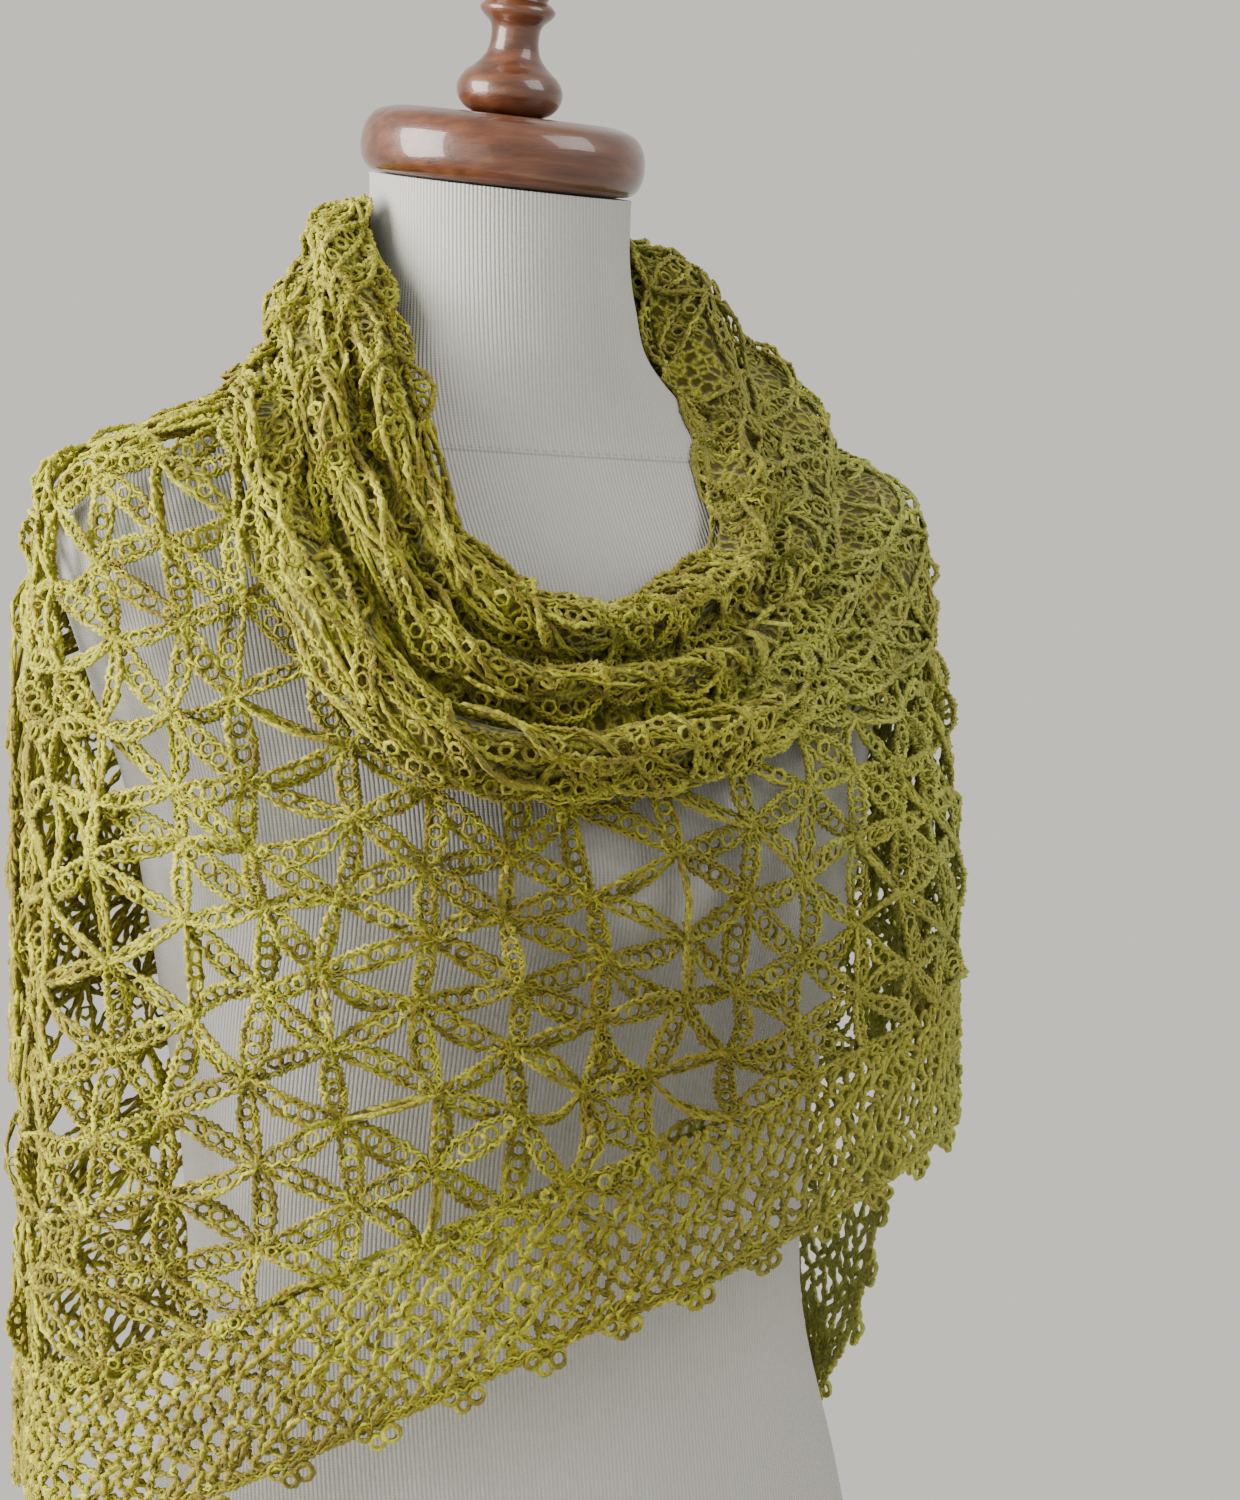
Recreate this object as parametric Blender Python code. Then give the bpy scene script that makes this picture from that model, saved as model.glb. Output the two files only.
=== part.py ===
"""A crocheted lace shawl wrapped round a limbless dress form. Metres, +Z up, the form faces -Y."""

import bpy
import numpy as np

# Sizes
WALL = 0.0020  # cloth
SEAM = 0.0004  # between two stretches that meet
PICOT = 0.0075  # height of an edge point
PICOT_FOOT = 0.12  # half its foot, as a share of the edge that it stands on
GAP_SHARE = 0.56  # size of the opening in a lattice triangle
LIFT_STEPS = 6  # steps in which a point is moved off what lies under it
LIFT_MOST = 0.01  # furthest move in one step
SLOPE_REACH = 0.0002  # distance over which a slope is measured

# The form
FORM_POWER = 2.2
FORM_RINGS = (  # z, half_width, depth_front, depth_back
    (0.000, 0.158, 0.108, 0.112),
    (0.004, 0.162, 0.112, 0.116),
    (0.060, 0.170, 0.118, 0.128),
    (0.150, 0.156, 0.106, 0.112),
    (0.238, 0.137, 0.096, 0.094),
    (0.300, 0.139, 0.102, 0.092),
    (0.360, 0.147, 0.116, 0.098),
    (0.410, 0.155, 0.132, 0.102),
    (0.460, 0.165, 0.124, 0.106),
    (0.510, 0.184, 0.103, 0.102),
    (0.545, 0.195, 0.088, 0.092),
    (0.568, 0.192, 0.074, 0.080),
    (0.585, 0.169, 0.065, 0.072),
    (0.600, 0.128, 0.060, 0.066),
    (0.615, 0.092, 0.058, 0.062),
    (0.635, 0.066, 0.057, 0.058),
    (0.660, 0.0570, 0.0560, 0.0560),
    (0.730, 0.0552, 0.0552, 0.0552),
)
FORM_LEVELS = (
    0.000, 0.004, 0.030, 0.060, 0.100, 0.150, 0.195, 0.238, 0.275, 0.315, 0.360, 0.400, 0.440, 0.480,
    0.515, 0.540, 0.556, 0.568, 0.578, 0.588, 0.598, 0.608, 0.620, 0.635, 0.655, 0.685,
)
FORM_SIDES = 48
NECK_TOP = 0.7125
NECK_TILT = 12.8  # degrees, forward

# Turned wood
CAP_PROFILE = (  # radius, height along the neck's axis
    (0.0500, 0.0000), (0.0570, 0.0016), (0.0602, 0.0060), (0.0612, 0.0130),
    (0.0600, 0.0200), (0.0560, 0.0258), (0.0490, 0.0285), (0.0300, 0.0292),
)
FINIAL_PROFILE = (  # radius, height along the neck's axis
    (0.0150, 0.0000), (0.0190, 0.0022), (0.0222, 0.0065), (0.0228, 0.0110), (0.0205, 0.0160),
    (0.0155, 0.0205), (0.0116, 0.0255), (0.0103, 0.0320), (0.0112, 0.0380), (0.0150, 0.0418),
    (0.0163, 0.0440), (0.0150, 0.0462), (0.0124, 0.0482), (0.0165, 0.0530), (0.0196, 0.0590),
    (0.0207, 0.0660), (0.0196, 0.0730), (0.0160, 0.0790), (0.0095, 0.0832),
)
CAP_SIDES = 40
FINIAL_SIDES = 24

# The cape: the shawl's fall from the shoulders
CAPE_POWER = 2.3
CAPE_RINGS = (  # z, half_width, depth_front, depth_back
    (0.160, 0.208, 0.132, 0.134),
    (0.250, 0.208, 0.134, 0.130),
    (0.330, 0.207, 0.138, 0.126),
    (0.410, 0.207, 0.142, 0.120),
    (0.480, 0.206, 0.130, 0.116),
    (0.530, 0.205, 0.108, 0.110),
    (0.565, 0.202, 0.093, 0.099),
    (0.585, 0.193, 0.084, 0.090),
    (0.598, 0.170, 0.078, 0.084),
    (0.608, 0.140, 0.072, 0.078),
    (0.622, 0.100, 0.068, 0.072),
    (0.640, 0.072, 0.066, 0.066),
)
CAPE_COLUMNS = 33.5  # lattice repeats in the whole round
CAPE_OFF_FORM = 0.0052
CAPE_TOP = 0.638
CHEST = 0.41  # height at which the lattice columns are evenly spaced
LINE_POINTS = 260  # points along a column while it is measured
HEM = (  # theta, z_hem, row_pitch
    (-180, 0.225, 0.0285),
    (-150, 0.200, 0.0295),
    (-120, 0.175, 0.0305),
    (-90, 0.165, 0.0310),
    (-54, 0.187, 0.0305),
    (-26, 0.220, 0.0290),
    (-5, 0.247, 0.0285),
    (16, 0.275, 0.0280),
    (36, 0.294, 0.0275),
    (60, 0.310, 0.0270),
    (92, 0.322, 0.0270),
    (120, 0.306, 0.0270),
    (150, 0.262, 0.0275),
    (180, 0.225, 0.0285),
)
BORDER = 0.062  # width of the net along the edge
ROWS = 15  # the border is the last
FALL_HALF = 0.207  # half width and depth of the round that the folds stand out of
FALL_DEPTH = 0.135
FALL_TOP = 0.56  # the folds begin here
FALL_LENGTH = 0.34
FALL_POWER = 1.2  # they deepen faster than in a straight line
DROPS = (  # theta, half_angle, depth of the hanging folds at the hem
    (-128, 15, 0.010),
    (-103, 11, -0.008),
    (-80, 12, 0.008),
    (-58, 10, -0.004),
    (62, 11, 0.005),
    (90, 13, -0.006),
    (128, 14, 0.009),
    (155, 13, -0.007),
    (-178, 15, 0.010),
    (-153, 12, -0.008),
)
FRONT_COLUMNS = (-9.0, 9.0)
BACK_COLUMNS = (10.5, 24.5)
BACK_SHORT = 0.012  # columns by which the back stops short of the front
FIRST_ROW = -3
SIDE_POINTS_FROM = 11  # the row, counted from the first, from which the open side has points
BACK_OPEN_FROM = 8  # the back's rows above this lie under the thrown end
TOP_SLACK = 0.45  # share of a row that the top row may be longer or shorter
UNDER_COLLAR = 0.014  # how far the cape runs up behind the collar

# The collar: cowl in front, roll behind the neck
COLLAR = (  # angle, inner_r, inner_z, outer_r, outer_z, bulge, fold
    (-180, 0.0670, 0.705, 0.104, 0.588, 0.006, 0.0045),
    (-140, 0.0670, 0.706, 0.112, 0.597, 0.004, 0.0040),
    (-110, 0.0670, 0.704, 0.110, 0.611, 0.003, 0.0035),
    (-90, 0.0670, 0.696, 0.111, 0.613, 0.003, 0.0040),
    (-72, 0.0730, 0.668, 0.140, 0.580, 0.003, 0.0060),
    (-58, 0.0810, 0.640, 0.169, 0.534, 0.002, 0.0075),
    (-46, 0.1000, 0.604, 0.185, 0.492, 0.000, 0.0080),
    (-37, 0.1220, 0.562, 0.182, 0.464, 0.000, 0.0080),
    (-22, 0.1250, 0.531, 0.162, 0.4545, 0.000, 0.0080),
    (-5, 0.1155, 0.528, 0.151, 0.457, 0.000, 0.0080),
    (14, 0.1080, 0.541, 0.142, 0.464, 0.000, 0.0075),
    (33, 0.1060, 0.562, 0.134, 0.480, 0.001, 0.0070),
    (47, 0.0890, 0.591, 0.147, 0.491, 0.004, 0.0060),
    (60, 0.0790, 0.612, 0.168, 0.505, 0.008, 0.0050),
    (75, 0.0730, 0.640, 0.194, 0.530, 0.007, 0.0060),
    (90, 0.0720, 0.682, 0.212, 0.555, 0.007, 0.0078),
    (105, 0.0730, 0.700, 0.190, 0.583, 0.010, 0.0070),
    (125, 0.0720, 0.707, 0.148, 0.600, 0.012, 0.0055),
    (150, 0.0700, 0.707, 0.116, 0.594, 0.010, 0.0045),
    (180, 0.0670, 0.705, 0.104, 0.588, 0.006, 0.0045),
)
COLLAR_FOLDS = 3
COLLAR_SEAMS = (-98.0, 98.0)
COLLAR_ACROSS = 12
COWL_STEP = 7.5  # degrees
ROLL_STEP = 9.0
ROLL_RADIUS = 0.07  # where the seam beside the roll is narrowest
COLLAR_OFF_FORM = 0.0023
COLLAR_OFF_CAPE = 0.0042
COLLAR_OFF_BACK = 0.0105
BACK_FROM = 84  # degrees from the front at which the collar starts to lie on the thrown end
BACK_OVER = 10
RIDE_FROM = 0.62  # share of the collar's width from which it lies on the cape
RIDE_OVER = 0.14

# The end thrown over the wearer's left shoulder
THROWN = (  # theta, z_upper, z_lower
    (99, 0.594, 0.500),
    (120, 0.596, 0.470),
    (150, 0.594, 0.440),
    (180, 0.588, 0.415),
    (210, 0.584, 0.385),
    (235, 0.555, 0.358),
    (250, 0.515, 0.338),
    (258, 0.490, 0.332),
)
THROWN_ROWS = 6
THROWN_COLUMNS = (9.9, 10.5, 11.5, 12.5, 13.5, 14.5, 15.5, 16.5, 17.5, 18.5, 19.5, 20.5, 21.5, 22.5, 23.3, 23.85)
THROWN_OFF_CAPE = 0.0052

# The end that hangs at the wearer's left, under the front
HANGING = (  # z, inset from the cape, y_middle, half_width
    (0.181, 0.039, 0.006, 0.0025),
    (0.210, 0.037, 0.005, 0.024),
    (0.250, 0.034, 0.004, 0.039),
    (0.300, 0.029, 0.000, 0.054),
    (0.370, 0.020, -0.004, 0.060),
    (0.450, 0.012, -0.010, 0.056),
    (0.525, 0.0036, -0.014, 0.046),
)
HANGING_LEVELS = (0.181, 0.214, 0.248, 0.282, 0.318, 0.356, 0.394, 0.430, 0.464, 0.495, 0.522)
HANGING_ACROSS = 4
HANGING_OFF_FORM = 0.0042
HANGING_OPEN = (7, 9)  # first and last open rows


def smooth(rows, x):
    """Columns of a table at x, by a cubic through its rows; the first column rises."""
    table = np.array(rows, float)
    keys = table[:, 0]
    values = table[:, 1:]
    slopes = np.gradient(values, keys, axis=0)
    x = np.clip(np.asarray(x, float), keys[0], keys[-1])
    k = np.clip(np.searchsorted(keys, x, side="right") - 1, 0, len(keys) - 2)
    step = (keys[k + 1] - keys[k])[..., None]
    t = (x - keys[k])[..., None] / step
    return (
        (2 * t**3 - 3 * t**2 + 1) * values[k]
        + (t**3 - 2 * t**2 + t) * step * slopes[k]
        + (3 * t**2 - 2 * t**3) * values[k + 1]
        + (t**3 - t**2) * step * slopes[k + 1]
    )


def wrapped(degrees):
    return (np.asarray(degrees, float) + 180.0) % 360.0 - 180.0


def ring_point(rows, power, theta, z):
    """A point of the ring at height z; theta in degrees from the front towards +X."""
    half, front, back = np.moveaxis(smooth(rows, z), -1, 0)
    s = np.sin(np.radians(theta))
    c = np.cos(np.radians(theta))
    depth = np.where(c > 0, front, back)
    x = half * np.sign(s) * np.abs(s) ** (2 / power)
    y = -depth * np.sign(c) * np.abs(c) ** (2 / power)
    return np.stack([x, y, np.broadcast_to(z, x.shape)], -1)


def outside(rows, power, points):
    """How far each point lies outside the rings, as a ratio."""
    half, front, back = np.moveaxis(smooth(rows, points[..., 2]), -1, 0)
    depth = np.where(points[..., 1] < 0, front, back)
    ratio = (np.abs(points[..., 0]) / half) ** power + (np.abs(points[..., 1]) / depth) ** power
    return ratio ** (1 / power) - 1


def lifted(points, rows, power, gap, weight=1.0):
    """Points moved out until they stand the gap off the rings."""
    points = np.array(points, float)
    reach = SLOPE_REACH
    for _ in range(LIFT_STEPS):
        slope = np.stack(
            [
                outside(rows, power, points + reach * axis) - outside(rows, power, points - reach * axis)
                for axis in np.eye(3)
            ],
            -1,
        ) / (2 * reach)
        size = np.linalg.norm(slope, axis=-1) + 1e-9
        short = np.clip(gap - outside(rows, power, points) / size, 0, LIFT_MOST) * weight
        points += slope / size[..., None] * short[..., None]
    return points


def cape_theta(column):
    """The angle of a lattice column: the columns are even along the ring at chest height."""
    angles = np.linspace(-180, 180, 1441)
    ring = ring_point(CAPE_RINGS, CAPE_POWER, angles, np.full(angles.shape, CHEST))
    run = np.concatenate([[0], np.cumsum(np.linalg.norm(np.diff(ring, axis=0), axis=1))])
    run = (run - np.interp(0, angles, run)) / run[-1] * CAPE_COLUMNS
    column = (np.asarray(column, float) + CAPE_COLUMNS / 2) % CAPE_COLUMNS - CAPE_COLUMNS / 2
    return np.interp(column, run, angles)


def cape_point(theta, z):
    theta = wrapped(theta)
    points = ring_point(CAPE_RINGS, CAPE_POWER, theta, z)
    out = points * np.array([1 / FALL_HALF**2, 1 / FALL_DEPTH**2, 0])
    out /= np.linalg.norm(out, axis=-1, keepdims=True)
    fall = np.clip((FALL_TOP - points[..., 2]) / FALL_LENGTH, 0, FALL_POWER) ** FALL_POWER
    for middle, half_angle, depth in DROPS:
        near = wrapped(theta - middle) / half_angle
        points += out * (depth * fall * np.exp(-(near**2)))[..., None]
    return lifted(points, FORM_RINGS, FORM_POWER, CAPE_OFF_FORM)


def collar_edge_height(points):
    angle = np.degrees(np.arctan2(points[..., 0], -points[..., 1]))
    return smooth(COLLAR, angle)[..., 3]


def cape_lines(columns, rows):
    """Points of the cape at these columns and rows, and the row at which each column's top lies."""
    made = []
    tops = []
    for column in columns:
        theta = float(cape_theta(column))
        hem, pitch = smooth(HEM, theta)
        z = np.linspace(hem, CAPE_TOP, LINE_POINTS)
        line = cape_point(np.full(z.shape, theta), z)
        run = np.concatenate([[0], np.cumsum(np.linalg.norm(np.diff(line, axis=0), axis=1))])
        covered = line[:, 2] > collar_edge_height(line) + UNDER_COLLAR
        top = run[np.argmax(covered)] if covered.any() else run[-1]
        up = np.where(rows > ROWS - 1, (ROWS - rows) * BORDER, BORDER + (ROWS - 1 - rows) * pitch)
        made.append(np.stack([np.interp(up, run, line[:, k]) for k in range(3)], -1))
        tops.append(ROWS - 1 - (top - BORDER) / pitch)
    return np.array(made), np.array(tops)


def collar_point(angle, w):
    """w runs from the inner edge, 0, to the outer edge, 1."""
    angle = wrapped(angle)
    inner_r, inner_z, outer_r, outer_z, bulge, fold = np.moveaxis(smooth(COLLAR, angle), -1, 0)
    run = outer_r - inner_r
    drop = outer_z - inner_z
    length = np.hypot(run, drop)
    out = bulge * np.sin(np.pi * w) + fold * (1 - np.cos(2 * np.pi * COLLAR_FOLDS * w))
    r = inner_r + run * w - drop / length * out
    z = inner_z + drop * w + run / length * out
    turn = np.radians(angle)
    points = np.stack([r * np.sin(turn), -r * np.cos(turn), z], -1)
    points = lifted(points, FORM_RINGS, FORM_POWER, COLLAR_OFF_FORM)
    back = np.clip((np.abs(angle) - BACK_FROM) / BACK_OVER, 0, 1)
    gap = COLLAR_OFF_CAPE + (COLLAR_OFF_BACK - COLLAR_OFF_CAPE) * back
    weight = np.clip((w - RIDE_FROM) / RIDE_OVER, 0, 1)
    return lifted(points, CAPE_RINGS, CAPE_POWER, gap, weight)


def thrown_grid():
    """The cape's own lattice lines, cut to the thrown end's edges and moved out."""
    rows = np.arange(FIRST_ROW, ROWS + 1)
    lines, _ = cape_lines(THROWN_COLUMNS, rows)
    grid = []
    for column, line in zip(THROWN_COLUMNS, lines):
        upper, lower = smooth(THROWN, float(cape_theta(column)) % 360)
        ends = np.interp([-upper, -lower], -line[:, 2], rows)
        across = np.linspace(ends[0], ends[1], THROWN_ROWS + 1)
        grid.append(np.stack([np.interp(across, rows, line[:, k]) for k in range(3)], -1))
    grid = np.array(grid)
    out = np.cross(np.gradient(grid, axis=1), np.gradient(grid, axis=0))
    out /= np.linalg.norm(out, axis=-1, keepdims=True)
    out *= np.sign((out * grid * (1, 1, 0)).sum(axis=-1, keepdims=True))
    return grid + out * THROWN_OFF_CAPE


def hanging_point(side, z):
    """side runs from -1 at the front edge to 1 at the back edge; the end hangs inside the cape."""
    inset, middle, half_width = np.moveaxis(smooth(HANGING, z), -1, 0)
    half, front, back = np.moveaxis(smooth(CAPE_RINGS, z), -1, 0)
    y = middle + side * half_width
    depth = np.where(y < 0, front, back)
    x = half * (1 - (np.abs(y) / depth) ** CAPE_POWER) ** (1 / CAPE_POWER) - inset
    return lifted(np.stack([x, y, z], -1), FORM_RINGS, FORM_POWER, HANGING_OFF_FORM)


class Sheet:
    """A triangle sheet that becomes a wall."""

    def __init__(self):
        self.points = []
        self.faces = []

    def add(self, point):
        self.points.append(np.array(point, float))
        return len(self.points) - 1

    def face(self, *corners):
        self.faces.append(corners)

    def gap_face(self, a, b, c):
        """A triangle with a smaller triangle open in its middle."""
        corners = [self.points[k] for k in (a, b, c)]
        middle = sum(corners) / 3
        inner = [self.add(middle + (p - middle) * GAP_SHARE) for p in corners]
        outer = (a, b, c)
        for k in range(3):
            n = (k + 1) % 3
            self.face(outer[k], outer[n], inner[n])
            self.face(outer[k], inner[n], inner[k])

    def picot(self, a, b):
        """A point standing out of the middle of the edge a-b."""
        for k, face in enumerate(self.faces):
            if a in face and b in face:
                break
        turn = face.index(a)
        face = face[turn:] + face[:turn]
        flip = face[1] != b
        other = face[1] if flip else face[2]
        start, end, far = self.points[a], self.points[b], self.points[other]
        first = self.add(start + (end - start) * (0.5 - PICOT_FOOT))
        last = self.add(start + (end - start) * (0.5 + PICOT_FOOT))
        middle = (start + end) / 2
        along = (end - start) / np.linalg.norm(end - start)
        out = middle - far
        out -= along * out.dot(along)
        tip = self.add(middle + out / np.linalg.norm(out) * PICOT)
        made = [(a, first, other), (first, last, other), (last, b, other), (last, first, tip)]
        self.faces[k] = made[0]
        self.faces += made[1:]
        if flip:
            self.faces[k] = made[0][::-1]
            self.faces[-3:] = [face[::-1] for face in made[1:]]

    def solid(self, name, material):
        """The sheet given its wall, half to each side."""
        points = np.array(self.points)
        faces = np.array(self.faces)
        corners = points[faces]
        areas = np.cross(corners[:, 1] - corners[:, 0], corners[:, 2] - corners[:, 0])
        normals = np.zeros_like(points)
        for k in range(3):
            np.add.at(normals, faces[:, k], areas)
        normals /= np.linalg.norm(normals, axis=1, keepdims=True)
        count = len(points)
        verts = np.concatenate([points + normals * WALL / 2, points - normals * WALL / 2])
        made = [tuple(face) for face in faces] + [tuple(face[::-1] + count) for face in faces]
        edges = {(f[k], f[(k + 1) % 3]) for f in self.faces for k in range(3)}
        for a, b in sorted(edges):
            if (b, a) not in edges:
                made += [(b, a, a + count), (b, a + count, b + count)]
        return solid_object(name, verts, made, material)


def solid_object(name, verts, faces, material):
    mesh = bpy.data.meshes.new(name)
    mesh.from_pydata([tuple(map(float, v)) for v in verts], [], [tuple(map(int, f)) for f in faces])
    mesh.validate()
    mesh.update()
    mesh.materials.append(material)
    made = bpy.data.objects.new(name, mesh)
    bpy.context.scene.collection.objects.link(made)
    return made


def plain_material(name, colour, roughness):
    material = bpy.data.materials.new(name)
    material.use_nodes = True
    shader = material.node_tree.nodes["Principled BSDF"]
    shader.inputs["Base Color"].default_value = (*colour, 1)
    shader.inputs["Roughness"].default_value = roughness
    return material


def rings_object(name, rings, material):
    """Rings of points, lowest first, closed by a fan at each end."""
    rings = np.array(rings)
    levels, sides = rings.shape[:2]
    verts = list(rings.reshape(-1, 3)) + [rings[0].mean(axis=0), rings[-1].mean(axis=0)]
    faces = []
    for k in range(levels - 1):
        for i in range(sides):
            a = k * sides + i
            b = k * sides + (i + 1) % sides
            faces += [(a, b, b + sides), (a, b + sides, a + sides)]
    for i in range(sides):
        n = (i + 1) % sides
        faces.append((n, i, len(verts) - 2))
        faces.append(((levels - 1) * sides + i, (levels - 1) * sides + n, len(verts) - 1))
    return solid_object(name, verts, faces, material)


def neck_frame():
    """The neck's tilted axis and the two directions across it."""
    tilt = np.radians(NECK_TILT)
    axis = np.array([0, -np.sin(tilt), np.cos(tilt)])
    forward = np.array([0, -np.cos(tilt), -np.sin(tilt)])
    return axis, forward, np.array([1.0, 0, 0])


def turned_object(name, profile, start, sides, material):
    """A profile turned round the neck's axis, from this height above the neck's top."""
    axis, forward, across = neck_frame()
    base = np.array([0, 0, NECK_TOP]) + axis * start
    turn = np.arange(sides) * 2 * np.pi / sides
    rings = [
        base + axis * height + radius * (np.cos(turn)[:, None] * forward + np.sin(turn)[:, None] * across)
        for radius, height in profile
    ]
    return rings_object(name, rings, material)


def build_form(cloth, wood):
    theta = np.arange(FORM_SIDES) * 360 / FORM_SIDES
    rings = [ring_point(FORM_RINGS, FORM_POWER, theta, np.full(theta.shape, z)) for z in FORM_LEVELS]
    top = ring_point(FORM_RINGS, FORM_POWER, theta, np.full(theta.shape, NECK_TOP))
    top[:, 2] += np.tan(np.radians(NECK_TILT)) * top[:, 1]
    rings_object("form_torso", rings + [top], cloth)
    turned_object("form_neck_cap", CAP_PROFILE, SEAM, CAP_SIDES, wood)
    cap_height = CAP_PROFILE[-1][1]
    turned_object("form_finial", FINIAL_PROFILE, 2 * SEAM + cap_height, FINIAL_SIDES, wood)


def lattice_cell(sheet, corners, open_gap):
    """One repeat: two triangles, the lower one open."""
    upper_left, upper_right, lower_left, lower_right = corners
    sheet.face(upper_left, lower_right, upper_right)
    if open_gap:
        sheet.gap_face(upper_left, lower_left, lower_right)
    else:
        sheet.face(upper_left, lower_left, lower_right)


def build_cape(name, columns, open_from, pointed_side, material):
    """A run of the cape's columns: lattice rows, then the border with its points."""
    rows = np.arange(FIRST_ROW, ROWS + 1)
    lines, tops = cape_lines(columns, rows)
    sheet = Sheet()
    index = {}
    first = [int(np.searchsorted(rows, top + TOP_SLACK)) for top in tops]
    for i, column in enumerate(columns):
        top_point, _ = cape_lines([column], np.array([tops[i]]))
        index[i, first[i] - 1] = sheet.add(top_point[0, 0])
        for j in range(first[i], len(rows)):
            index[i, j] = sheet.add(lines[i, j])
    last = len(rows) - 1
    for i in range(len(columns) - 1):
        a = first[i] - 1
        b = first[i + 1] - 1
        while a < b:
            sheet.face(index[i, a], index[i, a + 1], index[i + 1, b])
            a += 1
        while b < a:
            sheet.face(index[i, a], index[i + 1, b + 1], index[i + 1, b])
            b += 1
        for j in range(a, last):
            corners = (index[i, j], index[i + 1, j], index[i, j + 1], index[i + 1, j + 1])
            whole = j > a and j < last - 1 and rows[j] >= open_from
            lattice_cell(sheet, corners, whole)
    for i in range(len(columns) - 1):
        sheet.picot(index[i, last], index[i + 1, last])
    for j in range(SIDE_POINTS_FROM, last):
        sheet.picot(index[pointed_side, j], index[pointed_side, j + 1])
    return sheet.solid(name, material)


def build_grid(name, points, material, open_cells=None, picot_low=False, picot_end=False):
    """A sheet from a grid of points [along, across]; open_cells says which repeats are open."""
    along, across = points.shape[:2]
    sheet = Sheet()
    index = [[sheet.add(points[i, j]) for j in range(across)] for i in range(along)]
    for i in range(along - 1):
        for j in range(across - 1):
            corners = (index[i][j], index[i + 1][j], index[i][j + 1], index[i + 1][j + 1])
            lattice_cell(sheet, corners, bool(open_cells and open_cells(i, j)))
    if picot_low:
        for i in range(along - 1):
            sheet.picot(index[i][-1], index[i + 1][-1])
    if picot_end:
        for j in range(across - 1):
            sheet.picot(index[-1][j], index[-1][j + 1])
    return sheet.solid(name, material)


def build_shawl(yarn):
    front = np.arange(FRONT_COLUMNS[0], FRONT_COLUMNS[1] + 0.5)
    build_cape("shawl_front", front, FIRST_ROW, len(front) - 1, yarn)
    back = np.arange(BACK_COLUMNS[0], BACK_COLUMNS[1] + 0.5)
    back[-1] -= BACK_SHORT
    build_cape("shawl_back", back, BACK_OPEN_FROM, 0, yarn)

    across = np.linspace(0, 1, COLLAR_ACROSS + 1)
    start, end = COLLAR_SEAMS
    count = round((end - start) / COWL_STEP)
    angles = np.linspace(start, end, count + 1)
    grid = np.array([collar_point(np.full(across.shape, a), across) for a in angles])
    build_grid("shawl_cowl", grid, yarn)
    slack = np.degrees(SEAM / ROLL_RADIUS)
    count = round((360 - end + start) / ROLL_STEP)
    angles = np.linspace(end + slack, 360 + start - slack, count + 1)
    grid = np.array([collar_point(np.full(across.shape, a), across) for a in angles])
    build_grid("shawl_neck_roll", grid, yarn)

    last = len(THROWN_COLUMNS) - 2

    def thrown_open(i, j):
        return 0 < j < THROWN_ROWS - 1 and 0 < i < last

    build_grid("shawl_thrown_end", thrown_grid(), yarn, thrown_open, picot_low=True, picot_end=True)

    levels = np.array(HANGING_LEVELS)
    across = np.linspace(-1, 1, HANGING_ACROSS + 1)
    grid = np.array([hanging_point(side, levels[::-1]) for side in across])

    def hanging_open(i, j):
        return 0 < i < HANGING_ACROSS - 1 and HANGING_OPEN[0] <= j <= HANGING_OPEN[1]

    build_grid("shawl_hanging_end", grid, yarn, hanging_open)


def main():
    for old in list(bpy.data.objects):
        bpy.data.objects.remove(old)
    jersey = plain_material("cream_jersey", (0.78, 0.74, 0.66), 0.85)
    wood = plain_material("varnished_wood", (0.50, 0.24, 0.09), 0.25)
    yarn = plain_material("lime_yarn", (0.46, 0.44, 0.06), 0.80)
    build_form(jersey, wood)
    build_shawl(yarn)


main()
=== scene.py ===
"""Looks of a crocheted lace shawl wrapped round a limbless dress form."""

import bpy
import numpy as np
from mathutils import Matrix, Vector


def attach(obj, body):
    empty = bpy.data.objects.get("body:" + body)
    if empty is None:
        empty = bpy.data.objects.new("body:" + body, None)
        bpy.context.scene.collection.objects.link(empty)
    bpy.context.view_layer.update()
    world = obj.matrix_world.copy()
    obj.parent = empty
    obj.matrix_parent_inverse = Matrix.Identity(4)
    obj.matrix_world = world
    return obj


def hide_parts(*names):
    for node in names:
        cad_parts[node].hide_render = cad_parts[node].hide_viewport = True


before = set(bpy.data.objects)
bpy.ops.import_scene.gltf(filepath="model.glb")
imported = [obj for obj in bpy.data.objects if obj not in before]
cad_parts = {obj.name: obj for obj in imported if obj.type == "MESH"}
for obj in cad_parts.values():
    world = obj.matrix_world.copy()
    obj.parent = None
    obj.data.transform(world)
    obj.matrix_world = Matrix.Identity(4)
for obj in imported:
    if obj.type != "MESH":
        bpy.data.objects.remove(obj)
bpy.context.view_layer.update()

# Yarn sizes
PLY = 0.00104  # radius of one ply
PLY_SPREAD = 0.00086  # from the middle of a chain to each ply
PLY_LIFT = 0.00050  # of the ply that crosses over
PLY_WANDER = 0.24  # share of the spread
LUMPS = (0.74, 1.24)  # how the thickness varies from stitch to stitch
LOOP_PLY = 0.00102
LOOP_SHARE = 0.84  # of the room between a petal's sides
LOOP_RADIUS = (0.0012, 0.0029)
PETAL_HALF = 0.0042  # half the width of a full petal
PETAL_LENGTH = 0.034  # a shorter petal is narrower in proportion
PETAL_BOW = 0.0021  # how far petals bend sideways and out of the cloth
PETAL_TILT = 0.50  # how far they turn about their length, in radians
PETAL_SAG = 0.0009
PETAL_VARIES = (0.82, 1.18)  # share of its width
PETAL_LEAN = 0.12  # how much wider one side is, as a share
LEAF_POWER = 0.72  # below 1, a petal is fuller near its ends
LOOP_STRAY = 0.0005  # off the cloth
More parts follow.
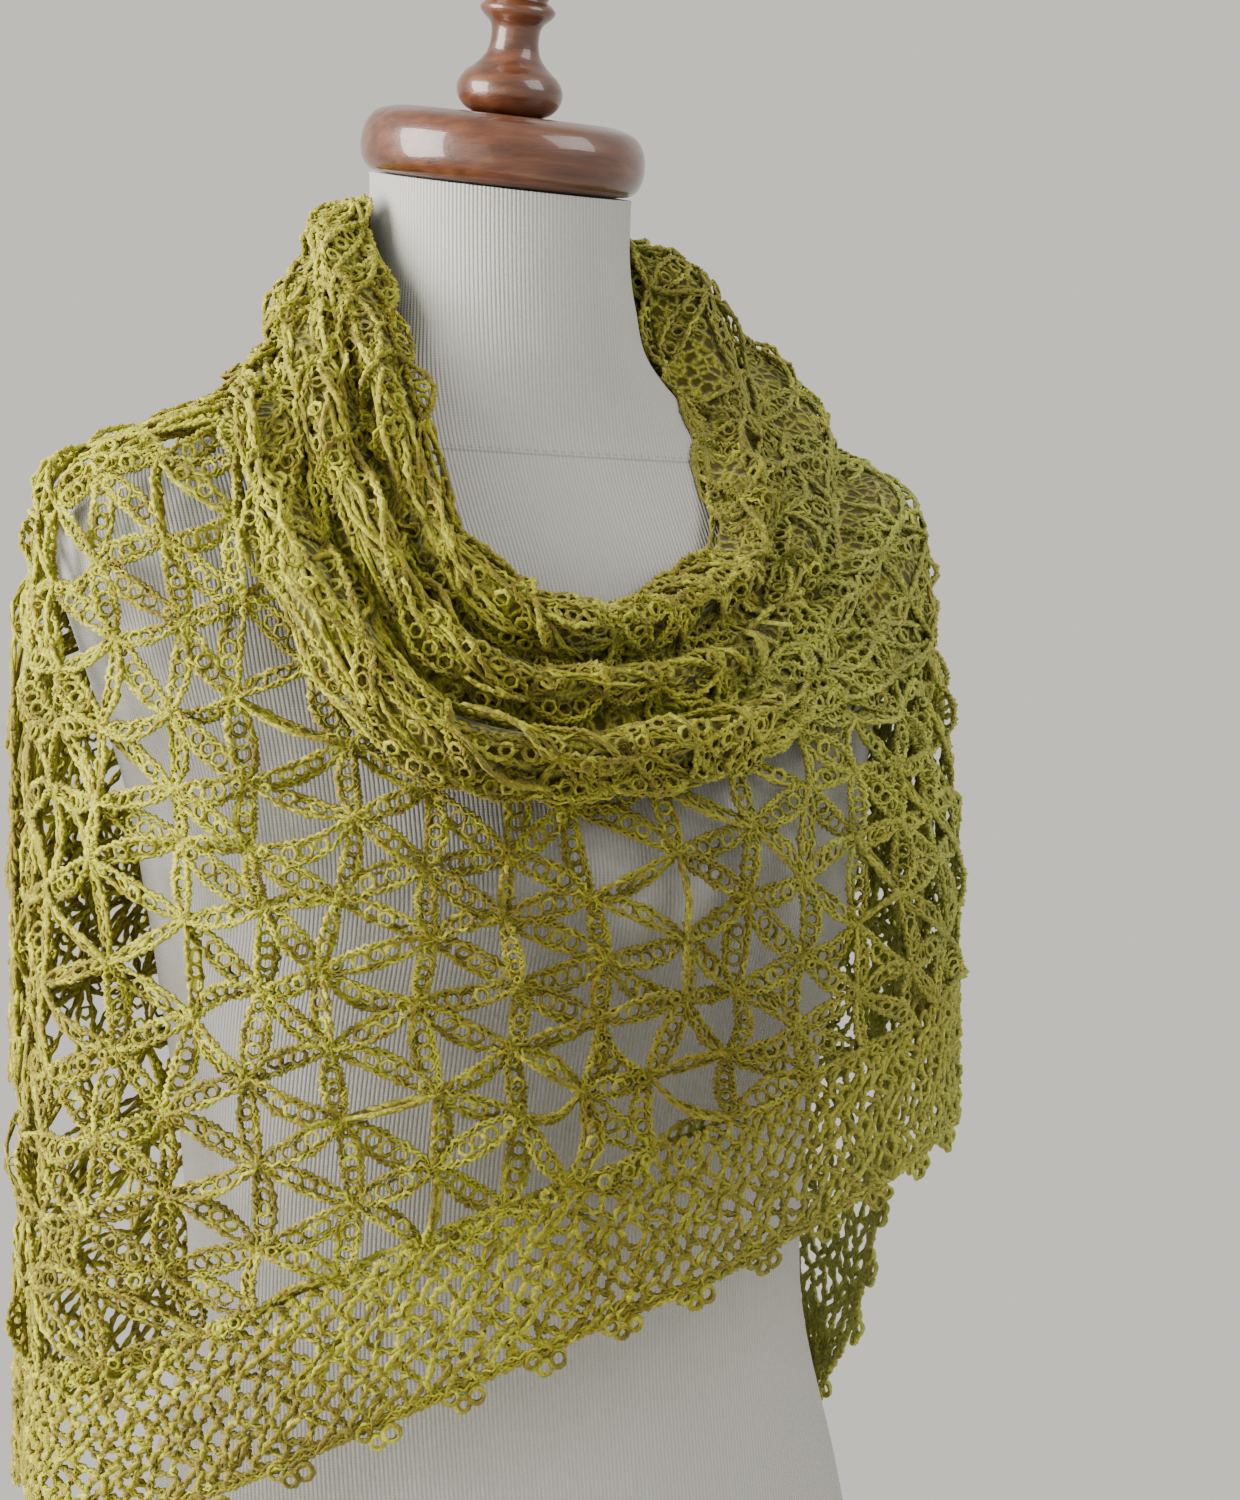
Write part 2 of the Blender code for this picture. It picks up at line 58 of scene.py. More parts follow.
LOOP_TILT = 0.16  # as a slope
# painted shade of the knots, as negative shade values
KNOT_PAINTED_SHADE_LEVELS = (-0.9, -0.3)
WARP = 0.16  # slow drift of the lattice, in repeats
NODE_RING = 0.0017
NET_PLY = 0.00122
NET_SPREAD = 0.00074
NET_WANDER = 0.0009
PICOT_LOOP = 0.0032
PICOT_SIDE = 0.0052
PICOT_DROP = 0.0032
PICOT_REACH = 0.0062
PICOT_VARIES = (0.85, 1.1)
PICOT_INNER = 0.86  # of the second round in each loop
PICOT_STEP = 0.0007  # between the two rounds
FINE = 6  # steps of the fine cloth grid in one lattice repeat
SIDES = 3  # of a ply
JITTER = 0.09  # how far lattice nodes stray, in repeats
COLLAR_JITTER = 0.10
NET_DRIFT = ((1.9, 0.6, 0.26), (2.1, 5.3, 0.20))  # waves across and along the net, and their size
EDGE_STEP = 3  # chain stitches of an edge line in one net cell
LEAVES = {  # chain stitches, loops and loop corners of a petal
    "front": (14, 5, 6),
    "back": (6, 2, 5),
    "cowl_outer": (14, 3, 6),
    "cowl_inner": (6, 2, 5),
    "roll": (8, 2, 5),
    "thrown": (8, 2, 5),
    "hanging": (10, 2, 6),
}
SIDE_EDGE_FROM = 6.5  # row at which the finished side edge starts
SIDE_POINTS_FROM = 8

# The form
FORM_POWER = 2.2
FORM_RINGS = (  # z, half_width, depth_front, depth_back
    (0.000, 0.158, 0.108, 0.112),
    (0.004, 0.162, 0.112, 0.116),
    (0.060, 0.170, 0.118, 0.128),
    (0.150, 0.156, 0.106, 0.112),
    (0.238, 0.137, 0.096, 0.094),
    (0.300, 0.139, 0.102, 0.092),
    (0.360, 0.147, 0.116, 0.098),
    (0.410, 0.155, 0.132, 0.102),
    (0.460, 0.165, 0.124, 0.106),
    (0.510, 0.184, 0.103, 0.102),
    (0.545, 0.195, 0.088, 0.092),
    (0.568, 0.192, 0.074, 0.080),
    (0.585, 0.169, 0.065, 0.072),
    (0.600, 0.128, 0.060, 0.066),
    (0.615, 0.092, 0.058, 0.062),
    (0.635, 0.066, 0.057, 0.058),
    (0.660, 0.0570, 0.0560, 0.0560),
    (0.730, 0.0552, 0.0552, 0.0552),
)
COVER_SIDES = 120
COVER_LEVELS = ((0.006, 0.54, 42), (0.545, 0.685, 46))  # from, to, how many
NECK_SEAM = 0.591  # height of the cover's seam in front
NECK_SEAM_RISE = 0.020  # to the back
NECK_TOP = 0.7125
NECK_TILT = 12.8  # degrees, forward
CAP_PROFILE = (  # radius, height along the neck's axis
    (0.0500, 0.0000), (0.0570, 0.0016), (0.0602, 0.0060), (0.0612, 0.0130),
    (0.0600, 0.0200), (0.0560, 0.0258), (0.0490, 0.0285), (0.0300, 0.0292),
)
FINIAL_PROFILE = (  # radius, height along the neck's axis
    (0.0150, 0.0000), (0.0190, 0.0022), (0.0222, 0.0065), (0.0228, 0.0110), (0.0205, 0.0160),
    (0.0155, 0.0205), (0.0116, 0.0255), (0.0103, 0.0320), (0.0112, 0.0380), (0.0150, 0.0418),
    (0.0163, 0.0440), (0.0150, 0.0462), (0.0124, 0.0482), (0.0165, 0.0530), (0.0196, 0.0590),
    (0.0207, 0.0660), (0.0196, 0.0730), (0.0160, 0.0790), (0.0095, 0.0832),
)
SEAM = 0.0004  # between turned parts
LIFT_STEPS = 6  # steps in which a point is moved off what lies under it
LIFT_MOST = 0.01  # furthest move in one step
SLOPE_REACH = 0.0002  # distance over which a slope is measured
NEAR_FORM = 0.1  # as a ratio of the form's size
STRAND_OFF_FORM = 0.0013  # so that no strand sinks into the form

# The cape
CAPE_POWER = 2.3
CAPE_RINGS = (  # z, half_width, depth_front, depth_back
    (0.160, 0.208, 0.132, 0.134),
    (0.250, 0.208, 0.134, 0.130),
    (0.330, 0.207, 0.138, 0.126),
    (0.410, 0.207, 0.142, 0.120),
    (0.480, 0.206, 0.130, 0.116),
    (0.530, 0.205, 0.108, 0.110),
    (0.565, 0.202, 0.093, 0.099),
    (0.585, 0.193, 0.084, 0.090),
    (0.598, 0.170, 0.078, 0.084),
    (0.608, 0.140, 0.072, 0.078),
    (0.622, 0.100, 0.068, 0.072),
    (0.640, 0.072, 0.066, 0.066),
)
CAPE_COLUMNS = 33.5  # lattice repeats in the whole round
CAPE_OFF_FORM = 0.0052
CAPE_TOP = 0.638
CHEST = 0.41  # height at which the lattice columns are evenly spaced
LINE_POINTS = 260  # points along a column while it is measured
HEM = (  # theta, z_hem, row_pitch
    (-180, 0.225, 0.0285),
    (-150, 0.200, 0.0295),
    (-120, 0.175, 0.0305),
    (-90, 0.165, 0.0310),
    (-54, 0.187, 0.0305),
    (-26, 0.220, 0.0290),
    (-5, 0.247, 0.0285),
    (16, 0.275, 0.0280),
    (36, 0.294, 0.0275),
    (60, 0.310, 0.0270),
    (92, 0.322, 0.0270),
    (120, 0.306, 0.0270),
    (150, 0.262, 0.0275),
    (180, 0.225, 0.0285),
)
BORDER = 0.062  # width of the net along the edge
NET_CELLS = 4  # in one column
ROWS = 15  # the border is the last
FALL_HALF = 0.207  # half width and depth of the round that the folds stand out of
FALL_DEPTH = 0.135
FALL_TOP = 0.56  # the folds begin here
FALL_LENGTH = 0.34
FALL_POWER = 1.2  # they deepen faster than in a straight line
FIRST_ROW = -3
BACK_SHORT = 0.012  # columns by which the back stops short of the front
SIDE_NET = (7.5, 9.0)  # column and row from which the open side's corner is net
DROPS = (  # theta, half_angle, depth of the hanging folds at the hem
    (-128, 15, 0.010),
    (-103, 11, -0.008),
    (-80, 12, 0.008),
    (-58, 10, -0.004),
    (62, 11, 0.005),
    (90, 13, -0.006),
    (128, 14, 0.009),
    (155, 13, -0.007),
    (-178, 15, 0.010),
    (-153, 12, -0.008),
)
TOP_SLACK = 0.45  # share of a row that the top row may be longer or shorter
UNDER_COLLAR = 0.014  # how far the cape runs up behind the collar

# The collar
COLLAR = (  # angle, inner_r, inner_z, outer_r, outer_z, bulge, fold
    (-180, 0.0670, 0.705, 0.104, 0.588, 0.006, 0.0045),
    (-140, 0.0670, 0.706, 0.112, 0.597, 0.004, 0.0040),
    (-110, 0.0670, 0.704, 0.110, 0.611, 0.003, 0.0035),
    (-90, 0.0670, 0.696, 0.111, 0.613, 0.003, 0.0040),
    (-72, 0.0730, 0.668, 0.140, 0.580, 0.003, 0.0060),
    (-58, 0.0810, 0.640, 0.169, 0.534, 0.002, 0.0075),
    (-46, 0.1000, 0.604, 0.185, 0.492, 0.000, 0.0080),
    (-37, 0.1220, 0.562, 0.182, 0.464, 0.000, 0.0080),
    (-22, 0.1250, 0.531, 0.162, 0.4545, 0.000, 0.0080),
    (-5, 0.1155, 0.528, 0.151, 0.457, 0.000, 0.0080),
    (14, 0.1080, 0.541, 0.142, 0.464, 0.000, 0.0075),
    (33, 0.1060, 0.562, 0.134, 0.480, 0.001, 0.0070),
    (47, 0.0890, 0.591, 0.147, 0.491, 0.004, 0.0060),
    (60, 0.0790, 0.612, 0.168, 0.505, 0.008, 0.0050),
    (75, 0.0730, 0.640, 0.194, 0.530, 0.007, 0.0060),
    (90, 0.0720, 0.682, 0.212, 0.555, 0.007, 0.0078),
    (105, 0.0730, 0.700, 0.190, 0.583, 0.010, 0.0070),
    (125, 0.0720, 0.707, 0.148, 0.600, 0.012, 0.0055),
    (150, 0.0700, 0.707, 0.116, 0.594, 0.010, 0.0045),
    (180, 0.0670, 0.705, 0.104, 0.588, 0.006, 0.0045),
)
COLLAR_FOLDS = 3
COLLAR_GRID = (2, 61)  # degrees in a step along, and points across
COLLAR_RIM = 0.002  # share of the width that the lace stays inside its edges
DEPTH_WALL = 0.0008
DEPTH_SINK = 0.0022  # of the layer under the outer lace, painted dark as shade
INNER_SINK = 0.0040
COLLAR_SEAMS = (-98.0, 98.0)  # degrees, where the cowl ends
ROLL_GAP = 0.4  # degrees, between the cowl and the roll behind the neck
COLLAR_OFF_FORM = 0.0023
COLLAR_OFF_CAPE = 0.0042
COLLAR_OFF_BACK = 0.0105
BACK_FROM = 84  # degrees from the front at which the collar starts to lie on the thrown end
BACK_OVER = 10
RIDE_FROM = 0.62  # share of the collar's width from which it lies on the cape
RIDE_OVER = 0.14

CREASES = (  # angle_from, angle_to, w_from, w_to, half_width, height
    (-96, -8, 0.46, 0.20, 0.050, 0.0042),
    (-76, 30, 0.70, 0.58, 0.050, -0.0030),
    (-62, 48, 0.94, 0.76, 0.045, 0.0040),
    (-34, 62, 0.28, 0.46, 0.050, -0.0030),
    (-2, 88, 0.68, 0.30, 0.050, 0.0045),
    (18, 94, 0.94, 0.60, 0.050, -0.0030),
    (-97, -40, 0.14, 0.60, 0.050, 0.0038),
    (-42, 24, 0.05, 0.13, 0.045, 0.0030),
    (38, 96, 0.16, 0.08, 0.045, 0.0034),
    (-90, -50, 0.84, 0.96, 0.040, 0.0036),
    (110, 175, 0.30, 0.44, 0.060, 0.0040),
    (150, 250, 0.72, 0.62, 0.060, 0.0036),
    (190, 255, 0.20, 0.36, 0.060, 0.0036),
)

# The end thrown over the form's left shoulder
THROWN = (  # theta, z_upper, z_lower
    (99, 0.594, 0.500),
    (120, 0.596, 0.470),
    (150, 0.594, 0.440),
    (180, 0.588, 0.415),
    (210, 0.584, 0.385),
    (235, 0.555, 0.358),
    (250, 0.515, 0.338),
    (258, 0.490, 0.332),
)
THROWN_ROWS = 6
THROWN_SPAN = (9.9, 23.85)  # lattice columns
THROWN_OFF_CAPE = 0.0052
THROWN_NET = 2.0  # rows that the net takes
THROWN_STITCHES = (170, 60)  # of its long and its short edge lines

# The end that hangs at the form's left, under the front
HANGING = (  # z, inset from the cape, y_middle, half_width
    (0.181, 0.039, 0.006, 0.0025),
    (0.210, 0.037, 0.005, 0.024),
    (0.250, 0.034, 0.004, 0.039),
    (0.300, 0.029, 0.000, 0.054),
    (0.370, 0.020, -0.004, 0.060),
    (0.450, 0.012, -0.010, 0.056),
    (0.525, 0.0036, -0.014, 0.046),
)
HANGING_SPAN = (0.181, 0.522)
HANGING_OFF_FORM = 0.0042
HANGING_GRID = (25, 70)  # points across and down
HANGING_STITCHES = 160  # of each edge line
HANGING_REPEATS = (4, 7)  # of petals, across and down
HANGING_ROWS = 36
HANGING_LACE = 20  # rows of the height that petals take
HANGING_POINTS = (15, 18, 21, 24, 27, 30, 33)  # net rows at which the edges have points

# Floor, light and camera
FLOOR_SIDES = 96
FLOOR_RADIUS = 0.6
FLOOR_HEIGHT = -0.0005
FLOOR_COLOUR = (0.72, 0.69, 0.64)
SURROUND = (0.760, 0.745, 0.690)
SURROUND_STRENGTH = 1.03
LAMPS = (  # name, place, aim, size, watts, colour
    ("soft_left", (-1.50, 0.12, 0.92), (0, 0, 0.45), (1.1, 1.4), 86, (1.0, 0.98, 0.94)),
    ("soft_right", (0.9, -1.3, 1.7), (0, 0, 0.66), (1.1, 1.1), 18, (1.0, 0.98, 0.95)),
    ("fill_left", (-1.35, -1.0, 0.42), (-0.12, 0, 0.46), (1.0, 1.0), 3, (1.0, 0.98, 0.95)),
)
LENS = 72.55
SENSOR = 36
CAMERA_PLACE = (-0.6053, -1.1516, 0.47)
CAMERA_AIM = (0.5, 0.8660254, 0)

# Each stretch as it was worked, before it was wound
SHEETS = (  # stretch, node, width, length, area, held, rests_on
    ("front_right", "shawl_front", 0.30, 0.46, 0.116, "draped", "form_torso"),
    ("front_left", "shawl_front", 0.30, 0.27, 0.072, "draped", "form_torso"),
    ("back", "shawl_back", 0.46, 0.48, 0.182, "draped", "form_torso"),
    ("cowl_outer", "shawl_cowl", 0.74, 0.23, 0.165, "gathered", "form_torso shawl_front"),
    ("cowl_inner", "shawl_cowl", 0.62, 0.20, 0.110, "gathered", "form_torso shawl_front"),
    ("cowl_depth", "shawl_cowl", 0.60, 0.19, 0.105, "gathered", "form_torso shawl_front"),
    ("roll", "shawl_neck_roll", 0.32, 0.20, 0.060, "gathered", "form_torso shawl_thrown_end"),
    ("roll_depth", "shawl_neck_roll", 0.30, 0.19, 0.050, "gathered", "form_torso shawl_thrown_end"),
    ("thrown", "shawl_thrown_end", 0.46, 0.19, 0.080, "draped", "shawl_back"),
    ("hanging", "shawl_hanging_end", 0.18, 0.36, 0.056, "hung", "shawl_front"),
)


def smooth(rows, x):
    """Columns of a table at x, by a cubic through its rows; the first column rises."""
    table = np.array(rows, float)
    keys = table[:, 0]
    values = table[:, 1:]
    slopes = np.gradient(values, keys, axis=0)
    x = np.clip(np.asarray(x, float), keys[0], keys[-1])
    k = np.clip(np.searchsorted(keys, x, side="right") - 1, 0, len(keys) - 2)
    step = (keys[k + 1] - keys[k])[..., None]
    t = (x - keys[k])[..., None] / step
    return (
        (2 * t**3 - 3 * t**2 + 1) * values[k]
        + (t**3 - 2 * t**2 + t) * step * slopes[k]
        + (3 * t**2 - 2 * t**3) * values[k + 1]
        + (t**3 - t**2) * step * slopes[k + 1]
    )


def wrapped(degrees):
    return (np.asarray(degrees, float) + 180.0) % 360.0 - 180.0


def unit(vectors):
    return vectors / (np.linalg.norm(vectors, axis=-1, keepdims=True) + 1e-12)


def ring_point(rows, power, theta, z):
    """A point of the ring at height z; theta in degrees from the front towards +X."""
    half, front, back = np.moveaxis(smooth(rows, z), -1, 0)
    s = np.sin(np.radians(theta))
    c = np.cos(np.radians(theta))
    depth = np.where(c > 0, front, back)
    x = half * np.sign(s) * np.abs(s) ** (2 / power)
    y = -depth * np.sign(c) * np.abs(c) ** (2 / power)
    return np.stack([x, y, np.broadcast_to(z, x.shape)], -1)


def outside(rows, power, points):
    """How far each point lies outside the rings, as a ratio."""
    half, front, back = np.moveaxis(smooth(rows, points[..., 2]), -1, 0)
    depth = np.where(points[..., 1] < 0, front, back)
    ratio = (np.abs(points[..., 0]) / half) ** power + (np.abs(points[..., 1]) / depth) ** power
    return ratio ** (1 / power) - 1


def lifted(points, rows, power, gap, weight=1.0):
    """Points moved out until they stand the gap off the rings."""
    points = np.array(points, float)
    reach = SLOPE_REACH
    for _ in range(LIFT_STEPS):
        slope = np.stack(
            [
                outside(rows, power, points + reach * axis) - outside(rows, power, points - reach * axis)
                for axis in np.eye(3)
            ],
            -1,
        ) / (2 * reach)
        size = np.linalg.norm(slope, axis=-1) + 1e-9
        short = np.clip(gap - outside(rows, power, points) / size, 0, LIFT_MOST) * weight
        points += slope / size[..., None] * short[..., None]
    return points


def cape_theta(column):
    """The angle of a lattice column: the columns are even along the ring at chest height."""
    angles = np.linspace(-180, 180, 1441)
    ring = ring_point(CAPE_RINGS, CAPE_POWER, angles, np.full(angles.shape, CHEST))
    run = np.concatenate([[0], np.cumsum(np.linalg.norm(np.diff(ring, axis=0), axis=1))])
    run = (run - np.interp(0, angles, run)) / run[-1] * CAPE_COLUMNS
    column = (np.asarray(column, float) + CAPE_COLUMNS / 2) % CAPE_COLUMNS - CAPE_COLUMNS / 2
    return np.interp(column, run, angles)


def cape_point(theta, z):
    theta = wrapped(theta)
    points = ring_point(CAPE_RINGS, CAPE_POWER, theta, z)
    out = points * np.array([1 / FALL_HALF**2, 1 / FALL_DEPTH**2, 0])
    out /= np.linalg.norm(out, axis=-1, keepdims=True)
    fall = np.clip((FALL_TOP - points[..., 2]) / FALL_LENGTH, 0, FALL_POWER) ** FALL_POWER
    for middle, half_angle, depth in DROPS:
        near = wrapped(theta - middle) / half_angle
        points += out * (depth * fall * np.exp(-(near**2)))[..., None]
    return lifted(points, FORM_RINGS, FORM_POWER, CAPE_OFF_FORM)


def collar_edge_height(points):
    angle = np.degrees(np.arctan2(points[..., 0], -points[..., 1]))
    return smooth(COLLAR, angle)[..., 3]


def cape_lines(columns, rows):
    """Points of the cape at these columns and rows, and the row at which each column's top lies."""
    made = []
    tops = []
    for column in columns:
        theta = float(cape_theta(column))
        hem, pitch = smooth(HEM, theta)
        z = np.linspace(hem, CAPE_TOP, LINE_POINTS)
        line = cape_point(np.full(z.shape, theta), z)
        run = np.concatenate([[0], np.cumsum(np.linalg.norm(np.diff(line, axis=0), axis=1))])
        covered = line[:, 2] > collar_edge_height(line) + UNDER_COLLAR
        top = run[np.argmax(covered)] if covered.any() else run[-1]
        up = np.where(rows > ROWS - 1, (ROWS - rows) * BORDER, BORDER + (ROWS - 1 - rows) * pitch)
        made.append(np.stack([np.interp(up, run, line[:, k]) for k in range(3)], -1))
        tops.append(ROWS - 1 - (top - BORDER) / pitch)
    return np.array(made), np.array(tops)


def collar_point(angle, w):
    """w runs from the inner edge, 0, to the outer edge, 1."""
    angle = wrapped(angle)
    inner_r, inner_z, outer_r, outer_z, bulge, fold = np.moveaxis(smooth(COLLAR, angle), -1, 0)
    run = outer_r - inner_r
    drop = outer_z - inner_z
    length = np.hypot(run, drop)
    out = bulge * np.sin(np.pi * w) + fold * (1 - np.cos(2 * np.pi * COLLAR_FOLDS * w))
    r = inner_r + run * w - drop / length * out
    z = inner_z + drop * w + run / length * out
    turn = np.radians(angle)
    points = np.stack([r * np.sin(turn), -r * np.cos(turn), z], -1)
    points = lifted(points, FORM_RINGS, FORM_POWER, COLLAR_OFF_FORM)
    back = np.clip((np.abs(angle) - BACK_FROM) / BACK_OVER, 0, 1)
    gap = COLLAR_OFF_CAPE + (COLLAR_OFF_BACK - COLLAR_OFF_CAPE) * back
    weight = np.clip((w - RIDE_FROM) / RIDE_OVER, 0, 1)
    return lifted(points, CAPE_RINGS, CAPE_POWER, gap, weight)


def hanging_point(side, z):
    """side runs from -1 at the front edge to 1 at the back edge; the end hangs inside the cape."""
    inset, middle, half_width = np.moveaxis(smooth(HANGING, z), -1, 0)
    half, front, back = np.moveaxis(smooth(CAPE_RINGS, z), -1, 0)
    y = middle + side * half_width
    depth = np.where(y < 0, front, back)
    x = half * (1 - (np.abs(y) / depth) ** CAPE_POWER) ** (1 / CAPE_POWER) - inset
    return lifted(np.stack([x, y, z], -1), FORM_RINGS, FORM_POWER, HANGING_OFF_FORM)


class Cloth:
    """A stretch of the shawl as a fine grid of points, read by lattice column and row."""

    def __init__(self, columns, rows, points):
        self.start = np.array([columns[0], rows[0]])
        self.step = np.array([columns[1] - columns[0], rows[1] - rows[0]])
        self.points = points
        normals = unit(np.cross(np.gradient(points, axis=1), np.gradient(points, axis=0)))
        middle = points.mean(axis=(0, 1)) * (0, 0, 1)
        if ((points - middle) * (1, 1, 0.3) * normals).sum() < 0:
            normals = -normals
        self.normals = normals

    def read(self, table, u, v):
        size = np.array(self.points.shape[:2]) - 1
        a = np.clip((u - self.start[0]) / self.step[0], 0, size[0] - 1e-6)
        b = np.clip((v - self.start[1]) / self.step[1], 0, size[1] - 1e-6)
        i, j = a.astype(int), b.astype(int)
        s, t = (a - i)[..., None], (b - j)[..., None]
        return (
            table[i, j] * (1 - s) * (1 - t)
            + table[i + 1, j] * s * (1 - t)
            + table[i, j + 1] * (1 - s) * t
            + table[i + 1, j + 1] * s * t
        )

    def at(self, u, v):
        return self.read(self.points, u, v)

    def out(self, u, v):
        return unit(self.read(self.normals, u, v))


class Yarn:
    """Strands gathered as edges, with the thickness, run and shade that each point carries."""

    def __init__(self, seed):
        self.random = np.random.default_rng(seed)
        self.points, self.edges, self.thick, self.along, self.shade = [], [], [], [], []
        self.count = 0

    def add(self, lines, thick, shade, closed=False):
        """Lines is [strand, point, xyz]; shade is one value a strand."""
        strands, size = lines.shape[:2]
        if not strands:
            return
        ids = self.count + np.arange(strands * size).reshape(strands, size)
        pairs = [np.stack([ids[:, :-1], ids[:, 1:]], -1).reshape(-1, 2)]
        if closed:
            pairs.append(np.stack([ids[:, -1], ids[:, 0]], -1))
        steps = np.linalg.norm(np.diff(lines, axis=1), axis=2)
        run = np.concatenate([np.zeros((strands, 1)), np.cumsum(steps, axis=1)], axis=1)
        run += self.random.uniform(0, 9, (strands, 1))
        self.points.append(lines.reshape(-1, 3))
        self.edges.append(np.concatenate(pairs))
        self.thick.append(thick * self.random.uniform(*LUMPS, strands * size))
        self.along.append(run.ravel())
        self.shade.append(np.repeat(shade, size))
        self.count += strands * size

    def chain(self, line, out, spread, thick, shade):
        """Two plies that cross each other at every stitch of each line."""
        stitches = np.arange(line.shape[1])
        side = unit(np.cross(out, np.gradient(line, axis=1)))
        across = np.where(stitches % 2 == 0, 1.0, -1.0)[None, :, None]
        over = np.array([1.0, 0.4, -1.0, -0.4])[stitches % 4][None, :, None]
        for ply in (1.0, -1.0):
            wander = self.random.normal(0, PLY_WANDER, line.shape[:2])[..., None]
            placed = line + side * spread * (ply * across + wander) + out * (ply * PLY_LIFT * over)
            self.add(placed, thick, shade)

    def loops(self, middle, out, along, radius, thick, shade, corners):
        """Small closed rounds of yarn lying on the cloth."""
        side = unit(np.cross(out, along))
        along = unit(np.cross(side, out))
        turn = np.arange(corners) * 2 * np.pi / corners
        lift = self.random.normal(0, LOOP_TILT, (len(middle), 2))
        ring = (
            np.cos(turn)[None, :, None] * (along + out * lift[:, :1])[:, None, :]
            + np.sin(turn)[None, :, None] * (side + out * lift[:, 1:])[:, None, :]
        )
        placed = middle[:, None, :] + ring * np.broadcast_to(radius, len(middle))[:, None, None]
        self.add(placed, thick, shade, closed=True)

    def piece(self, name):
        mesh = bpy.data.meshes.new(name)
        points, edges = np.concatenate(self.points), np.concatenate(self.edges)
        near = outside(FORM_RINGS, FORM_POWER, points) < NEAR_FORM
        points[near] = lifted(points[near], FORM_RINGS, FORM_POWER, STRAND_OFF_FORM)
        mesh.vertices.add(len(points))
        mesh.vertices.foreach_set("co", points.astype(np.float32).ravel())
        mesh.edges.add(len(edges))
        mesh.edges.foreach_set("vertices", edges.astype(np.int32).ravel())
        for word, values in (("thick", self.thick), ("along", self.along), ("shade", self.shade)):
            attribute = mesh.attributes.new(word, "FLOAT", "POINT")
            attribute.data.foreach_set("value", np.concatenate(values).astype(np.float32))
        mesh.update()
        return swept(name, mesh)


def new_tree(name, kind, inputs, outputs):
    """An empty tree with named sockets; an input may carry its starting value."""
    tree = bpy.data.node_groups.new(name, kind)
    for word, socket, *value in inputs:
        made = tree.interface.new_socket(word, in_out="INPUT", socket_type="NodeSocket" + socket)
        if value:
            made.default_value = value[0]
    for word, socket in outputs:
        tree.interface.new_socket(word, in_out="OUTPUT", socket_type="NodeSocket" + socket)
    return tree, tree.nodes.new("NodeGroupInput"), tree.nodes.new("NodeGroupOutput")


def wired(tree, *links):
    """Each link is a node, its output, a node and its input."""
    for start, out, end, into in links:
        tree.links.new(start.outputs[out], end.inputs[into])
    return tree


def strand_tree():
    """A round of the carried thickness swept along every strand."""
    inputs = (
        ("Strands", "Geometry"), ("Sides", "Int", SIDES), ("Yarn size", "Float", 1.0), ("Finish", "Material"),
    )
    tree, given, made = new_tree("yarn_strands", "GeometryNodeTree", inputs, (("Yarn", "Geometry"),))
    node = tree.nodes.new
    curve, sweep = node("GeometryNodeMeshToCurve"), node("GeometryNodeCurveToMesh")
    thick, scale = node("GeometryNodeInputNamedAttribute"), node("ShaderNodeMath")
    ply, soft = node("GeometryNodeCurvePrimitiveCircle"), node("GeometryNodeSetShadeSmooth")
    real, finish = node("GeometryNodeRealizeInstances"), node("GeometryNodeSetMaterial")
    thick.data_type = "FLOAT"
    thick.inputs["Name"].default_value = "thick"
    scale.operation = "MULTIPLY"
    ply.inputs["Radius"].default_value = 1.0
    sweep.inputs["Fill Caps"].default_value = True
    return wired(
        tree,
        (given, "Strands", curve, "Mesh"),
        (given, "Sides", ply, "Resolution"),
        (thick, "Attribute", scale, 0),
        (given, "Yarn size", scale, 1),
        (curve, "Curve", sweep, "Curve"),
        (ply, "Curve", sweep, "Profile Curve"),
        (scale, 0, sweep, "Scale"),
        (sweep, "Mesh", soft, "Geometry"),
        (soft, "Geometry", real, "Geometry"),
        (real, "Geometry", finish, "Geometry"),
        (given, "Finish", finish, "Material"),
        (finish, "Geometry", made, "Yarn"),
    )


def placed(name, data):
    made = bpy.data.objects.new(name, data)
    bpy.context.scene.collection.objects.link(made)
    return made


def skin(name, points, faces, material):
    """Points and faces as a smooth piece."""
    mesh = bpy.data.meshes.new(name)
    mesh.from_pydata(points, [], faces)
    mesh.polygons.foreach_set("use_smooth", np.ones(len(faces), bool))
    mesh.materials.append(material)
    mesh.update()
    return placed(name, mesh)


def swept(name, mesh):
    """The strands of a mesh swept by the tree, as a plain mesh."""
    source = placed(name + "_strands", mesh)
    modifier = source.modifiers.new("yarn", "NODES")
    modifier.node_group = STRANDS
    values = {"Sides": SIDES, "Yarn size": 1.0, "Finish": YARN_FINISH}
    for item in STRANDS.interface.items_tree:
        if item.in_out == "INPUT" and item.name in values:
            modifier[item.identifier] = values[item.name]
    bpy.context.view_layer.update()
    made = bpy.data.meshes.new_from_object(source.evaluated_get(bpy.context.evaluated_depsgraph_get()))
    source.modifiers.remove(modifier)
    bpy.data.objects.remove(source)
    made.name = name
    return placed(name, made)


